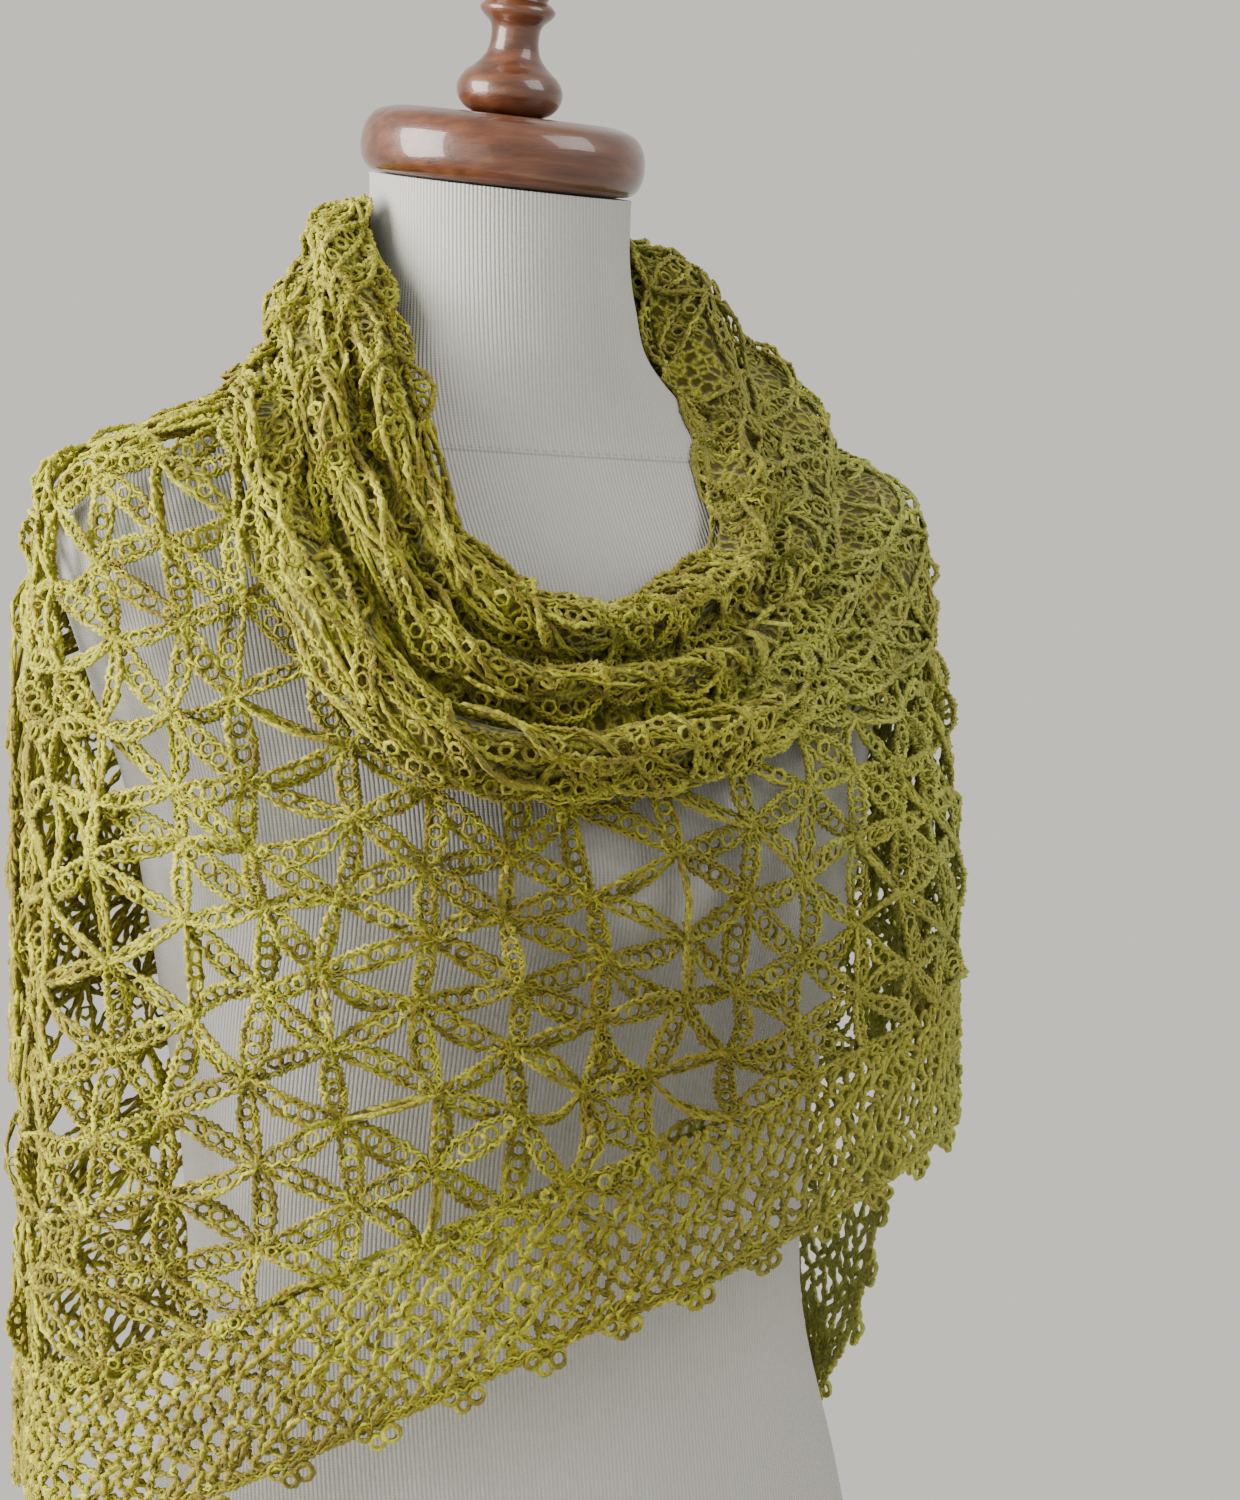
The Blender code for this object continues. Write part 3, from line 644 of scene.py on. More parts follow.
def lattice(columns, rows, seed, tops=None, jitter=JITTER):
    """Lattice nodes as [column, row, uv] with a mask of those that exist, and the edges between them."""
    random = np.random.default_rng(seed)
    u, v = np.meshgrid(np.array(columns, float), np.array(rows, float), indexing="ij")
    there = np.ones(u.shape, bool)
    shift = random.normal(0, jitter, (*u.shape, 2))
    shift[..., 0] += WARP * np.sin(1.3 * v + 0.7 * u)
    shift[..., 1] += WARP * np.sin(0.9 * u - 1.1 * v + 1.0)
    shift[[0, -1], :, 0] = 0
    shift[:, [0, -1], 1] = 0
    if tops is not None:
        for i, top in enumerate(tops):
            first = int(np.searchsorted(rows, top + TOP_SLACK))
            there[i, : max(first - 1, 0)] = False
            v[i, max(first - 1, 0)] = top
    nodes = np.stack([u, v], -1) + shift
    edges = []
    for di, dj in ((1, 0), (0, 1), (1, 1)):
        a = nodes[: u.shape[0] - di, : u.shape[1] - dj]
        b = nodes[di:, dj:]
        both = there[: u.shape[0] - di, : u.shape[1] - dj] & there[di:, dj:]
        edges.append(np.concatenate([a[both], b[both]], -1))
    return nodes[there], np.concatenate(edges)


def petal_frame(cloth, edges, count):
    """Middle line, outward and sideways directions of each edge, at count points."""
    s = np.linspace(0, 1, count)[None, :]
    u = edges[:, None, 0] * (1 - s) + edges[:, None, 2] * s
    v = edges[:, None, 1] * (1 - s) + edges[:, None, 3] * s
    line = cloth.at(u, v)
    out = cloth.out(u, v)
    side = unit(np.cross(out, np.gradient(line, axis=1)))
    return line, out, side


def add_petals(yarn, cloth, edges, segments, loops, corners, width=1.0):
    """Each edge becomes a leaf: two chains that part and meet again, with small loops between them."""
    line, out, side = petal_frame(cloth, edges, segments + 1)
    count = len(edges)
    normal = yarn.random.normal
    length = np.linalg.norm(np.diff(line, axis=1), axis=2).sum(axis=1)
    full = PETAL_HALF * width * np.minimum(1, length / PETAL_LENGTH)
    full = full * yarn.random.uniform(*PETAL_VARIES, count)
    s = np.linspace(0, 1, segments + 1)
    body = np.sin(np.pi * s)[None, :, None]
    bend = side * normal(0, PETAL_BOW, count)[:, None, None]
    bend = bend + out * normal(0, PETAL_BOW, count)[:, None, None]
    line = line + body * (bend - np.array([0, 0, PETAL_SAG]))
    tilt = normal(0, PETAL_TILT, count)[:, None, None]
    side, out = side * np.cos(tilt) + out * np.sin(tilt), out * np.cos(tilt) - side * np.sin(tilt)
    leaf = np.sin(np.pi * s) ** LEAF_POWER
    lean = normal(0, PETAL_LEAN, count)
    tint = yarn.random.uniform(0, 1, count)
    for way in (-1.0, 1.0):
        reach = full[:, None] * leaf[None, :] * (way + lean[:, None])
        yarn.chain(line + side * reach[..., None], out, PLY_SPREAD, PLY, tint)
    spots = (np.arange(loops) + 1.0) / (loops + 1)
    for spot in spots:
        k = int(round(spot * segments))
        room = full * leaf[k]
        middle = line[:, k] + side[:, k] * (lean * full)[:, None]
        middle = middle + out[:, k] * normal(0, LOOP_STRAY, count)[:, None]
        along = line[:, min(k + 1, segments)] - line[:, k - 1]
        radius = np.clip(room * LOOP_SHARE, *LOOP_RADIUS)
        yarn.loops(middle, out[:, k], along, radius, LOOP_PLY, np.clip(tint + 0.15, 0, 1), corners)


def add_nodes(yarn, cloth, nodes):
    """A small knot where the petals meet; its dark colour is painted shade."""
    out = cloth.out(nodes[:, 0], nodes[:, 1])
    middle = cloth.at(nodes[:, 0], nodes[:, 1])
    along = np.broadcast_to(np.array([0.3, 0.2, 1.0]), out.shape)
    shade = yarn.random.uniform(*KNOT_PAINTED_SHADE_LEVELS, len(nodes))
    yarn.loops(middle, out, along, NODE_RING, PLY, shade, corners=6)


def add_line(yarn, cloth, u, v):
    """One chain along a run of lattice places; u or v may be one value."""
    u, v = np.broadcast_arrays(np.asarray(u, float), np.asarray(v, float))
    line, out = cloth.at(u, v)[None], cloth.out(u, v)[None]
    yarn.chain(line, out, NET_SPREAD, NET_PLY, yarn.random.uniform(0, 1, 1))


def add_net(yarn, cloth, u_span, v_span, cells, rows, segments):
    """An even diamond net between two rows."""
    edges = []
    for k in range(rows):
        for m in range(cells + 1):
            here = m + 0.5 * (k % 2)
            for step in (-0.5, 0.5):
                there = here + step
                if 0 <= here <= cells and 0 <= there <= cells:
                    edges.append((here, k, there, k + 1))
    edges = np.array(edges, float)
    for k in (0, 2):
        place = edges[:, k : k + 2]
        drift = sum(size * np.sin(place[:, ::-1] * other + place * own) for other, own, size in NET_DRIFT)
        inside = (place > 0) & (place < (cells, rows))
        edges[:, k : k + 2] = place + drift * inside
    edges[:, [0, 2]] = u_span[0] + edges[:, [0, 2]] / cells * (u_span[1] - u_span[0])
    edges[:, [1, 3]] = v_span[0] + edges[:, [1, 3]] / rows * (v_span[1] - v_span[0])
    line, out, side = petal_frame(cloth, edges, segments + 1)
    bow = np.sin(np.pi * np.linspace(0, 1, segments + 1))[None, :, None]
    line = line + out * yarn.random.normal(0, NET_WANDER, len(edges))[:, None, None] * bow
    line = line + side * yarn.random.normal(0, NET_WANDER, len(edges))[:, None, None] * bow
    yarn.chain(line, out, NET_SPREAD, NET_PLY, yarn.random.uniform(0, 1, len(edges)))


def add_picots(yarn, cloth, places, away):
    """Three loops standing out of the edge at each place; away is the lattice step that leaves the cloth."""
    places = np.array(places, float)
    u, v = places[:, 0], places[:, 1]
    middle = cloth.at(u, v)
    inner = cloth.at(u - away[0] * 0.3, v - away[1] * 0.3)
    out = cloth.out(u, v)
    down = unit(middle - inner)
    along = unit(np.cross(out, down))
    tint = yarn.random.uniform(0, 1, len(places))
    for across, drop in ((-PICOT_SIDE, PICOT_DROP), (0.0, PICOT_REACH), (PICOT_SIDE, PICOT_DROP)):
        spot = middle + along * across + down * drop
        size = PICOT_LOOP * yarn.random.uniform(*PICOT_VARIES, len(places))
        yarn.loops(spot, out, down, size, NET_PLY, tint, corners=9)
        yarn.loops(spot + out * PICOT_STEP, out, along, size * PICOT_INNER, PLY, tint, corners=9)


def fine_steps(low, high):
    count = int(round((high - low) * FINE))
    return np.linspace(low, high, count + 1)


def cape_cloth(low, high):
    columns = fine_steps(low, high)
    rows = fine_steps(FIRST_ROW - 1, ROWS)
    points, _ = cape_lines(columns, rows)
    return Cloth(columns, rows, points)


def petals_piece(name, cloth, nodes, edges, seed, detail):
    yarn = Yarn(seed)
    add_petals(yarn, cloth, edges, *detail)
    add_nodes(yarn, cloth, nodes)
    return yarn.piece(name)


def cape_lattice(columns, seed):
    rows = np.arange(FIRST_ROW, ROWS)
    _, tops = cape_lines(columns, rows)
    return lattice(columns, rows, seed, tops)


def cape_border(cloth, columns, seed, net_rows, segments):
    """The net along the hem, with its edge lines and its points."""
    border = Yarn(seed)
    low, high = columns[0], columns[-1]
    cells = int(round((high - low) * NET_CELLS))
    add_net(border, cloth, (low, high), (ROWS - 1, ROWS), cells, net_rows, segments)
    for row in (ROWS - 0.04, ROWS):
        add_line(border, cloth, np.linspace(low, high, cells * EDGE_STEP + 1), row)
    add_picots(border, cloth, [(u + 0.5, ROWS) for u in columns[:-1]], (0, 1))
    return border


def finish_side(border, cloth, column, stitches, way):
    """The edge line and the points down one open side."""
    add_line(border, cloth, column, np.linspace(SIDE_EDGE_FROM, ROWS, stitches))
    add_picots(border, cloth, [(column, row + 0.5) for row in range(SIDE_POINTS_FROM, ROWS)], (way, 0))


STRANDS = strand_tree()


# Finishes

def mottle_group():
    """Soft patches: a noise on given coordinates, stretched about its middle."""
    inputs = (("Place", "Vector"), ("Patches a metre", "Float", 20.0), ("Contrast", "Float", 1.0))
    group, given, made = new_tree("mottle", "ShaderNodeTree", inputs, (("Value", "Float"),))
    noise = group.nodes.new("ShaderNodeTexNoise")
    noise.inputs["Detail"].default_value = 3.0
    centred, spread, back = (group.nodes.new("ShaderNodeMath") for _ in range(3))
    for part, operation in ((centred, "SUBTRACT"), (spread, "MULTIPLY"), (back, "ADD")):
        part.operation = operation
        part.inputs[1].default_value = 0.5
    back.use_clamp = True
    return wired(
        group,
        (given, "Place", noise, "Vector"),
        (given, "Patches a metre", noise, "Scale"),
        (noise, "Fac", centred, 0),
        (centred, 0, spread, 0),
        (given, "Contrast", spread, 1),
        (spread, 0, back, 0),
        (back, 0, made, "Value"),
    )


MOTTLE = mottle_group()


class Finish:
    """A material being wired round its Principled shader."""

    def __init__(self, name):
        self.material = bpy.data.materials.new(name)
        self.material.use_nodes = True
        self.nodes = self.material.node_tree.nodes
        self.shader = self.nodes["Principled BSDF"]
        self.place = self.node("ShaderNodeTexCoord").outputs["Object"]

    def set(self, **values):
        for word, value in values.items():
            self.shader.inputs[word.replace("_", " ")].default_value = value

    def end(self, colour, normal=None):
        self.link(colour, self.shader.inputs["Base Color"])
        if normal is not None:
            self.link(normal, self.shader.inputs["Normal"])
        return self.material

    def node(self, kind, inputs=(), **settings):
        """A node with its settings and the values or links of its named inputs."""
        made = self.nodes.new(kind)
        for word, value in settings.items():
            setattr(made, word, value)
        for word, value in dict(inputs).items():
            self.feed(made.inputs[word], value)
        return made

    def link(self, a, b):
        self.material.node_tree.links.new(a, b)

    def feed(self, socket, value):
        if isinstance(value, bpy.types.NodeSocket):
            self.link(value, socket)
        elif socket.type == "RGBA":
            socket.default_value = (*value, 1)
        else:
            socket.default_value = value

    def mottle(self, place, patches, contrast):
        inputs = {"Place": place, "Patches a metre": patches, "Contrast": contrast}
        return self.node("ShaderNodeGroup", inputs, node_tree=MOTTLE).outputs["Value"]

    def attribute(self, word):
        return self.node("ShaderNodeAttribute", attribute_name=word).outputs["Fac"]

    def math(self, operation, *values):
        made = self.node("ShaderNodeMath", operation=operation)
        for socket, value in zip(made.inputs, values):
            self.feed(socket, value)
        return made.outputs[0]

    def times(self, a, b):
        return self.math("MULTIPLY", a, b)

    def plus(self, a, b):
        return self.math("ADD", a, b)

    def less(self, a, b):
        return self.math("SUBTRACT", a, b)

    def held(self, value, low, high):
        return self.math("MINIMUM", self.math("MAXIMUM", value, low), high)

    def wave(self, value, pitch):
        return self.math("SINE", self.times(value, 2 * np.pi / pitch))

    def ramp(self, value, stops):
        made = self.node("ShaderNodeValToRGB", {"Fac": value})
        points = made.color_ramp.elements
        while len(points) < len(stops):
            points.new(0.5)
        for point, (place, colour) in zip(points, stops):
            point.position = place
            point.color = (*colour, 1)
        return made.outputs["Color"]

    def mix(self, share, a, b):
        made = self.node("ShaderNodeMix", data_type="RGBA", blend_type="MIX")
        colours = [s for s in made.inputs if s.type == "RGBA"]
        for socket, value in ((made.inputs[0], share), (colours[0], a), (colours[1], b)):
            self.feed(socket, value)
        return next(s for s in made.outputs if s.type == "RGBA")

    def bump(self, height, strength, distance):
        inputs = {"Strength": strength, "Distance": distance, "Height": height}
        return self.node("ShaderNodeBump", inputs).outputs["Normal"]


def yarn_finish():
    """Hand-dyed lime wool: the dye runs along the strand, over twist lines and fine fibres, with painted
    shade in the twist grooves and at the knots.
    """
    f = Finish("lime_wool")
    along, shade = f.attribute("along"), f.attribute("shade")
    # Painted shade at the knots, from their negative shade values.
    knot = f.times(f.math("MAXIMUM", f.times(shade, -1.0), 0.0), 0.7)
    inputs = {"Scale": DYE_RUNS, "Detail": 2.0, "W": f.plus(along, f.times(shade, 0.9))}
    runs = f.node("ShaderNodeTexNoise", inputs, noise_dimensions="1D")
    region = f.mottle(f.place, *DYE_PATCHES)
    dye = f.plus(f.times(runs.outputs["Fac"], 1.05), f.times(region, 0.50))
    colour = f.ramp(f.less(dye, 0.275), WOOL_DYES)
    aside = f.node("ShaderNodeSeparateXYZ", {"Vector": f.place}).outputs["X"]
    # Greener dye toward the form's left, with painted light that makes it paler there too.
    green = f.plus(f.times(f.mottle(f.place, *GREEN_PATCHES), 0.30), f.times(aside, GREEN_AND_PAINTED_LIGHT_RISE))
    colour = f.mix(f.held(green, 0.08, 0.58), colour, LEAF_GREEN)
    # Darker in a patch round the middle of the front.
    spot = f.node("ShaderNodeVectorMath", {0: f.place, 1: DARK_PATCH_MIDDLE}, operation="DISTANCE")
    near = f.less(1.0, f.math("DIVIDE", spot.outputs["Value"], DARK_REACH))
    near = f.math("MAXIMUM", near, 0.0)
    colour = f.mix(f.times(near, 0.75), colour, DEEP_OLIVE)
    turned = f.node("ShaderNodeCombineXYZ", {"X": along}).outputs["Vector"]
    inputs = {"Vector": turned, "Scale": TWIST, "Distortion": 1.2}
    twist = f.node("ShaderNodeTexWave", inputs, wave_type="BANDS", bands_direction="X").outputs["Fac"]
    fibre = f.mottle(f.place, *FIBRES)
    # Painted shade in the grooves of the twist.
    colour = f.mix(f.times(f.times(twist, fibre), 0.55), colour, TWIST_GROOVE_PAINTED_SHADE)
    colour = f.mix(f.times(f.mottle(f.place, *PALE_FIBRES), 0.24), colour, PALE_LIME)
    colour = f.mix(knot, colour, KNOT_PAINTED_SHADE_COLOUR)
    f.set(Roughness=0.85, Sheen_Weight=0.20, Sheen_Roughness=0.40)
    f.set(Sheen_Tint=(0.92, 0.88, 0.36, 1), Specular_IOR_Level=0.20)
    f.set(Subsurface_Weight=0.35, Subsurface_Scale=0.0016, Subsurface_Radius=(1.0, 0.85, 0.20))
    return f.end(colour, f.bump(f.plus(f.times(twist, 0.6), fibre), 0.9, YARN_BUMP))


def depth_finish():
    """Yarn in the shade of the folds, seen between the outer strands; the shade is painted into its colour,
    darkest between painted strands.
    """
    f = Finish("shaded_wool")
    inputs = {"Scale": 170.0, "Vector": f.place}
    cells = f.node("ShaderNodeTexVoronoi", inputs, feature="DISTANCE_TO_EDGE")
    strands = f.less(1.0, f.math("MINIMUM", f.times(cells.outputs["Distance"], 4.0), 1.0))
    strands = f.times(strands, f.plus(f.mottle(f.place, 500.0, 2.4), 0.3))
    f.set(Roughness=0.95, Sheen_Weight=0.2, Specular_IOR_Level=0.1)
    return f.end(f.ramp(strands, DEPTH_PAINTED_SHADES), f.bump(strands, 1.0, 2 * YARN_BUMP))


def jersey_finish():
    """Cream rib jersey: fine upright ribs and the stitched seam round the base of the neck."""
    f = Finish("cream_jersey_cover")
    uv = f.node("ShaderNodeUVMap", uv_map="cover").outputs["UV"]
    parts = f.node("ShaderNodeSeparateXYZ", {"Vector": uv})
    across, up = parts.outputs["X"], parts.outputs["Y"]
    groove = f.math("POWER", f.plus(f.times(f.wave(across, RIB_PITCH), 0.5), 0.5), 0.6)
    colour = f.ramp(f.mottle(f.place, 9.0, 1.2), CREAMS)
    # Painted shade in the rib grooves.
    colour = f.mix(f.times(f.less(1.0, groove), 0.38), colour, RIB_GROOVE_PAINTED_SHADE)
    seam = f.attribute("seam")
    line = f.math("LESS_THAN", f.math("ABSOLUTE", seam), SEAM_HALF)
    colour = f.mix(f.times(line, 0.55), colour, SEAM_SHADE)
    beside = f.math("LESS_THAN", f.math("ABSOLUTE", f.less(seam, STITCH_OFF)), STITCH_HALF)
    stitch = f.times(beside, f.math("GREATER_THAN", f.wave(across, STITCH_PITCH), 0.1))
    colour = f.mix(f.times(stitch, 0.45), colour, STITCH_SHADE)
    f.set(Roughness=0.9, Sheen_Weight=0.2, Sheen_Roughness=0.5, Specular_IOR_Level=0.2)
    fuzz = f.plus(f.wave(up, COURSE_PITCH), f.mottle(f.place, 2200.0, 1.5))
    height = f.less(f.plus(groove, f.times(fuzz, 0.12)), f.times(line, 1.6))
    return f.end(colour, f.bump(f.less(height, f.times(stitch, 0.8)), 0.8, RIB_DEPTH))


def wood_finish():
    """Turned light-brown wood with fine grain under clear varnish."""
    f = Finish("varnished_light_wood")
    inputs = {"Scale": GRAIN_STRETCH, "Vector": f.place}
    stretch = f.node("ShaderNodeMapping", inputs).outputs["Vector"]
    pores = f.mottle(stretch, 210.0, 2.6)
    colour = f.ramp(f.mottle(stretch, 34.0, 2.0), WOODS)
    colour = f.mix(f.times(pores, 0.22), colour, PORE_SHADE)
    f.feed(f.shader.inputs["Roughness"], f.plus(f.times(pores, 0.10), 0.32))
    f.set(Coat_Weight=0.75, Coat_Roughness=0.07)
    return f.end(colour, f.bump(pores, 0.12, 0.0004))


def pale_finish(name, colour):
    f = Finish(name)
    f.set(Roughness=0.9)
    darker = tuple(c * 0.97 for c in colour)
    return f.end(f.ramp(f.mottle(f.place, 3.0, 0.5), ((0.0, darker), (1.0, colour))))


# Sizes in the finishes: patches a metre and contrast, or metres
DYE_RUNS = 26.0
DYE_PATCHES = (7.0, 1.7)
GREEN_PATCHES = (11.0, 3.0)
FIBRES = (1400.0, 1.8)
PALE_FIBRES = (2300.0, 2.6)
TWIST = 120.0  # twist lines of a strand
YARN_BUMP = 0.0006
RIB_PITCH = 0.00178
RIB_DEPTH = 0.0005
COURSE_PITCH = 0.0011  # rows of the jersey's own knit
SEAM_HALF = 0.00045
STITCH_OFF = 0.0016  # from the seam
STITCH_HALF = 0.0005
STITCH_PITCH = 0.0042
GRAIN_STRETCH = (0.6, 3.2, 7.0)
WOOL_DYES = (
    (0.36, (0.080, 0.044, 0.002)),
    (0.44, (0.170, 0.108, 0.003)),
    (0.50, (0.270, 0.215, 0.004)),
    (0.56, (0.280, 0.275, 0.007)),
    (0.63, (0.540, 0.520, 0.040)),
)
LEAF_GREEN = (0.480, 0.580, 0.180)
DEEP_OLIVE = (0.130, 0.098, 0.004)
# colour of the painted shade in the twist grooves
TWIST_GROOVE_PAINTED_SHADE = (0.120, 0.090, 0.010)
PALE_LIME = (0.620, 0.570, 0.060)
# colour of the painted shade at the knots
KNOT_PAINTED_SHADE_COLOUR = (0.090, 0.066, 0.008)
# painted shade of the wraps under the outer lace
DEPTH_PAINTED_SHADES = (
    (0.15, (0.050, 0.042, 0.003)),
    (0.50, (0.170, 0.158, 0.008)),
    (0.90, (0.350, 0.345, 0.030)),
)
CREAMS = ((0.3, (0.430, 0.424, 0.396)), (0.7, (0.470, 0.466, 0.438)))
# colour of the painted shade in the rib grooves
RIB_GROOVE_PAINTED_SHADE = (0.290, 0.280, 0.255)
SEAM_SHADE = (0.260, 0.235, 0.205)
STITCH_SHADE = (0.300, 0.275, 0.245)
WOODS = ((0.15, (0.056, 0.014, 0.004)), (0.50, (0.098, 0.028, 0.009)), (0.85, (0.150, 0.049, 0.018)))
PORE_SHADE = (0.085, 0.030, 0.012)
GREEN_AND_PAINTED_LIGHT_RISE = 2.0  # a metre: toward the form's left the yarn is greener, as dye, and paler, as painted light
DARK_PATCH_MIDDLE = (0.02, -0.13, 0.36)  # middle of the yarn's darker stretch
DARK_REACH = 0.17
YARN_FINISH = yarn_finish()
DEPTH_FINISH = depth_finish()
JERSEY_FINISH = jersey_finish()
WOOD_FINISH = wood_finish()


# The form

def rings_mesh(name, rings, material):
    """Rings of points, lowest first, closed by a fan at each end, smooth all over."""
    levels, sides = rings.shape[:2]
    points = np.concatenate([rings.reshape(-1, 3), rings[:1].mean(axis=1), rings[-1:].mean(axis=1)])
    i = np.arange(sides)
    n = (i + 1) % sides
    faces = []
    for k in range(levels - 1):
        low, high = k * sides, (k + 1) * sides
        faces += np.stack([low + i, low + n, high + n, high + i], 1).tolist()
    faces += np.stack([n, i, np.full(sides, len(points) - 2)], 1).tolist()
    top = (levels - 1) * sides
    faces += np.stack([top + i, top + n, np.full(sides, len(points) - 1)], 1).tolist()
    return skin(name, points.tolist(), faces, material)


def make_cover():
    """The jersey cover: a fine form with its run round the body and its distance from the neck seam."""
    theta = np.arange(COVER_SIDES) * 360 / COVER_SIDES
    half_way = COVER_SIDES // 2
    heights = np.concatenate([[0.0, 0.002]] + [np.linspace(*levels) for levels in COVER_LEVELS])
    rings = [ring_point(FORM_RINGS, FORM_POWER, theta, np.full(COVER_SIDES, z)) for z in heights]
    for share in (0.5, 0.97, 1.0):
        top = ring_point(FORM_RINGS, FORM_POWER, theta, np.full(COVER_SIDES, NECK_TOP))
        under = heights[-1] if share < 1 else NECK_TOP
        low = ring_point(FORM_RINGS, FORM_POWER, theta, np.full(COVER_SIDES, under))
        top[:, 2] += np.tan(np.radians(NECK_TILT)) * top[:, 1]
        rings.append(top * share + low * (1 - share))
    rings = np.array(rings)
    made = rings_mesh("form_cover", rings, JERSEY_FINISH)
    steps = np.linalg.norm(np.roll(rings, -1, axis=1) - rings, axis=2)
    run = np.concatenate([np.zeros((len(rings), 1)), np.cumsum(steps, axis=1)], axis=1)
    signed = run - 2 * run[:, [half_way]] * (np.arange(COVER_SIDES + 1) > half_way)
    mesh = made.data
    table = mesh.uv_layers.new(name="cover").data
    count = len(rings) * COVER_SIDES
    for polygon in mesh.polygons:
        corners = list(polygon.vertices)
        columns = [corner % COVER_SIDES for corner in corners if corner < count]
        wraps = max(columns) - min(columns) > 1
        for loop, corner in zip(polygon.loop_indices, corners):
            if corner >= count:
                table[loop].uv = (0, 0)
                continue
            ring, column = divmod(corner, COVER_SIDES)
            height = rings[ring, column, 2]
            around = signed[ring, COVER_SIDES if wraps and column == 0 else column]
            if column == half_way and min(columns) >= half_way:
                around = -run[ring, half_way]
            table[loop].uv = (around, height)
    drop = NECK_SEAM + NECK_SEAM_RISE * (1 - np.cos(np.radians(theta))) / 2
    seam = np.ones(len(mesh.vertices), np.float32)
    seam[:count] = (rings[:, :, 2] - drop[None]).ravel()
    attribute = mesh.attributes.new("seam", "FLOAT", "POINT")
    attribute.data.foreach_set("value", seam)
    return made


def make_turned(name, profile, start, sides, steps):
    """A profile turned round the neck's tilted axis, with its curves filled in."""
    tilt = np.radians(NECK_TILT)
    axis = np.array([0, -np.sin(tilt), np.cos(tilt)])
    forward = np.array([0, -np.cos(tilt), -np.sin(tilt)])
    across = np.array([1.0, 0, 0])
    table = np.array(profile)
    run = np.concatenate([[0], np.cumsum(np.linalg.norm(np.diff(table, axis=0), axis=1))])
    fine = smooth(np.column_stack([run, table]), np.linspace(0, run[-1], steps))
    turn = np.arange(sides) * 2 * np.pi / sides
    base = np.array([0, 0, NECK_TOP]) + axis * start
    rings = [
        base + axis * height + radius * (np.cos(turn)[:, None] * forward + np.sin(turn)[:, None] * across)
        for radius, height in fine
    ]
    return rings_mesh(name, np.array(rings), WOOD_FINISH)


# The shawl's stretches

def make_front():
    """The front's lace in two halves, and its border with the net corner of the open side."""
    columns = np.arange(-9, 9.5)
    cloth = cape_cloth(columns[0], columns[-1])
    nodes, edges = cape_lattice(columns, seed=3)
    column, row = SIDE_NET
    middle = (edges[:, :2] + edges[:, 2:]) / 2
    kept = ~((middle[:, 0] > column) & (middle[:, 1] > row))
    edges, middle = edges[kept], middle[kept]
    nodes = nodes[~((nodes[:, 0] > column + 0.1) & (nodes[:, 1] > row + 0.1))]
    left = middle[:, 0] >= 0
    halves = (("right", nodes[:, 0] < 0, ~left, 3), ("left", nodes[:, 0] > 0, left, 5))
    pieces = [
        petals_piece("shawl_front_lace_" + side, cloth, nodes[knots], edges[petals], seed, LEAVES["front"])
        for side, knots, petals, seed in halves
    ]
    border = cape_border(cloth, columns, seed=7, net_rows=12, segments=3)
    add_net(border, cloth, (column, columns[-1]), (row, ROWS - 1), cells=6, rows=28, segments=2)
    finish_side(border, cloth, columns[-1], stitches=70, way=1)
    return pieces, border.piece("shawl_front_border")


def make_back():
    """The back's lace and its border, open along the front's open side."""
    columns = np.arange(10.5, 25)
    columns[-1] -= BACK_SHORT
    cloth = cape_cloth(columns[0], columns[-1])
    nodes, edges = cape_lattice(columns, seed=13)
    lace = petals_piece("shawl_back_lace", cloth, nodes, edges, 13, LEAVES["back"])
    border = cape_border(cloth, columns, seed=14, net_rows=10, segments=2)
    finish_side(border, cloth, columns[0], stitches=60, way=-1)
    return lace, border.piece("shawl_back_border")


def collar_cloth(low, high, sink=0.0):
    """The collar's folds with its smaller creases, sunk below the outer layer."""
    step, count = COLLAR_GRID
    angles = np.linspace(low, high, int((high - low) / step) + 1)
    across = np.linspace(0, 1, count)
    points = np.array([collar_point(np.full(across.shape, a), across) for a in angles])
    cloth = Cloth(angles, across, points)
    rise = np.full(points.shape[:2], -sink)
    for start, end, w_start, w_end, half, height in CREASES:
        share = np.clip((angles - start) / (end - start), 0, 1)
        middle = (w_start + (w_end - w_start) * share)[:, None]
        rise += height * np.sin(np.pi * share)[:, None] ** 0.6 * np.exp(-(((across - middle) / half) ** 2))
    return Cloth(angles, across, cloth.points + cloth.normals * rise[..., None])


def make_collar(name, span, repeats, seed, detail, sink=0.0, width=1.0):
    """Lace on the folds; repeats are those along the span and across it."""
    low, high = span
    columns, rows = repeats
    cloth = collar_cloth(low, high, sink)
    nodes, edges = lattice(np.arange(columns + 1), np.arange(rows + 1), seed, jitter=COLLAR_JITTER)
    scale = np.array([(high - low) / columns, 1 / rows])
    nodes = nodes * scale + (low, 0)
    edges = edges * np.tile(scale, 2) + (low, 0, low, 0)
    edges[:, [1, 3]] = np.clip(edges[:, [1, 3]], COLLAR_RIM, 1 - COLLAR_RIM)
    return petals_piece(name, cloth, nodes, edges, seed, (*detail, width))


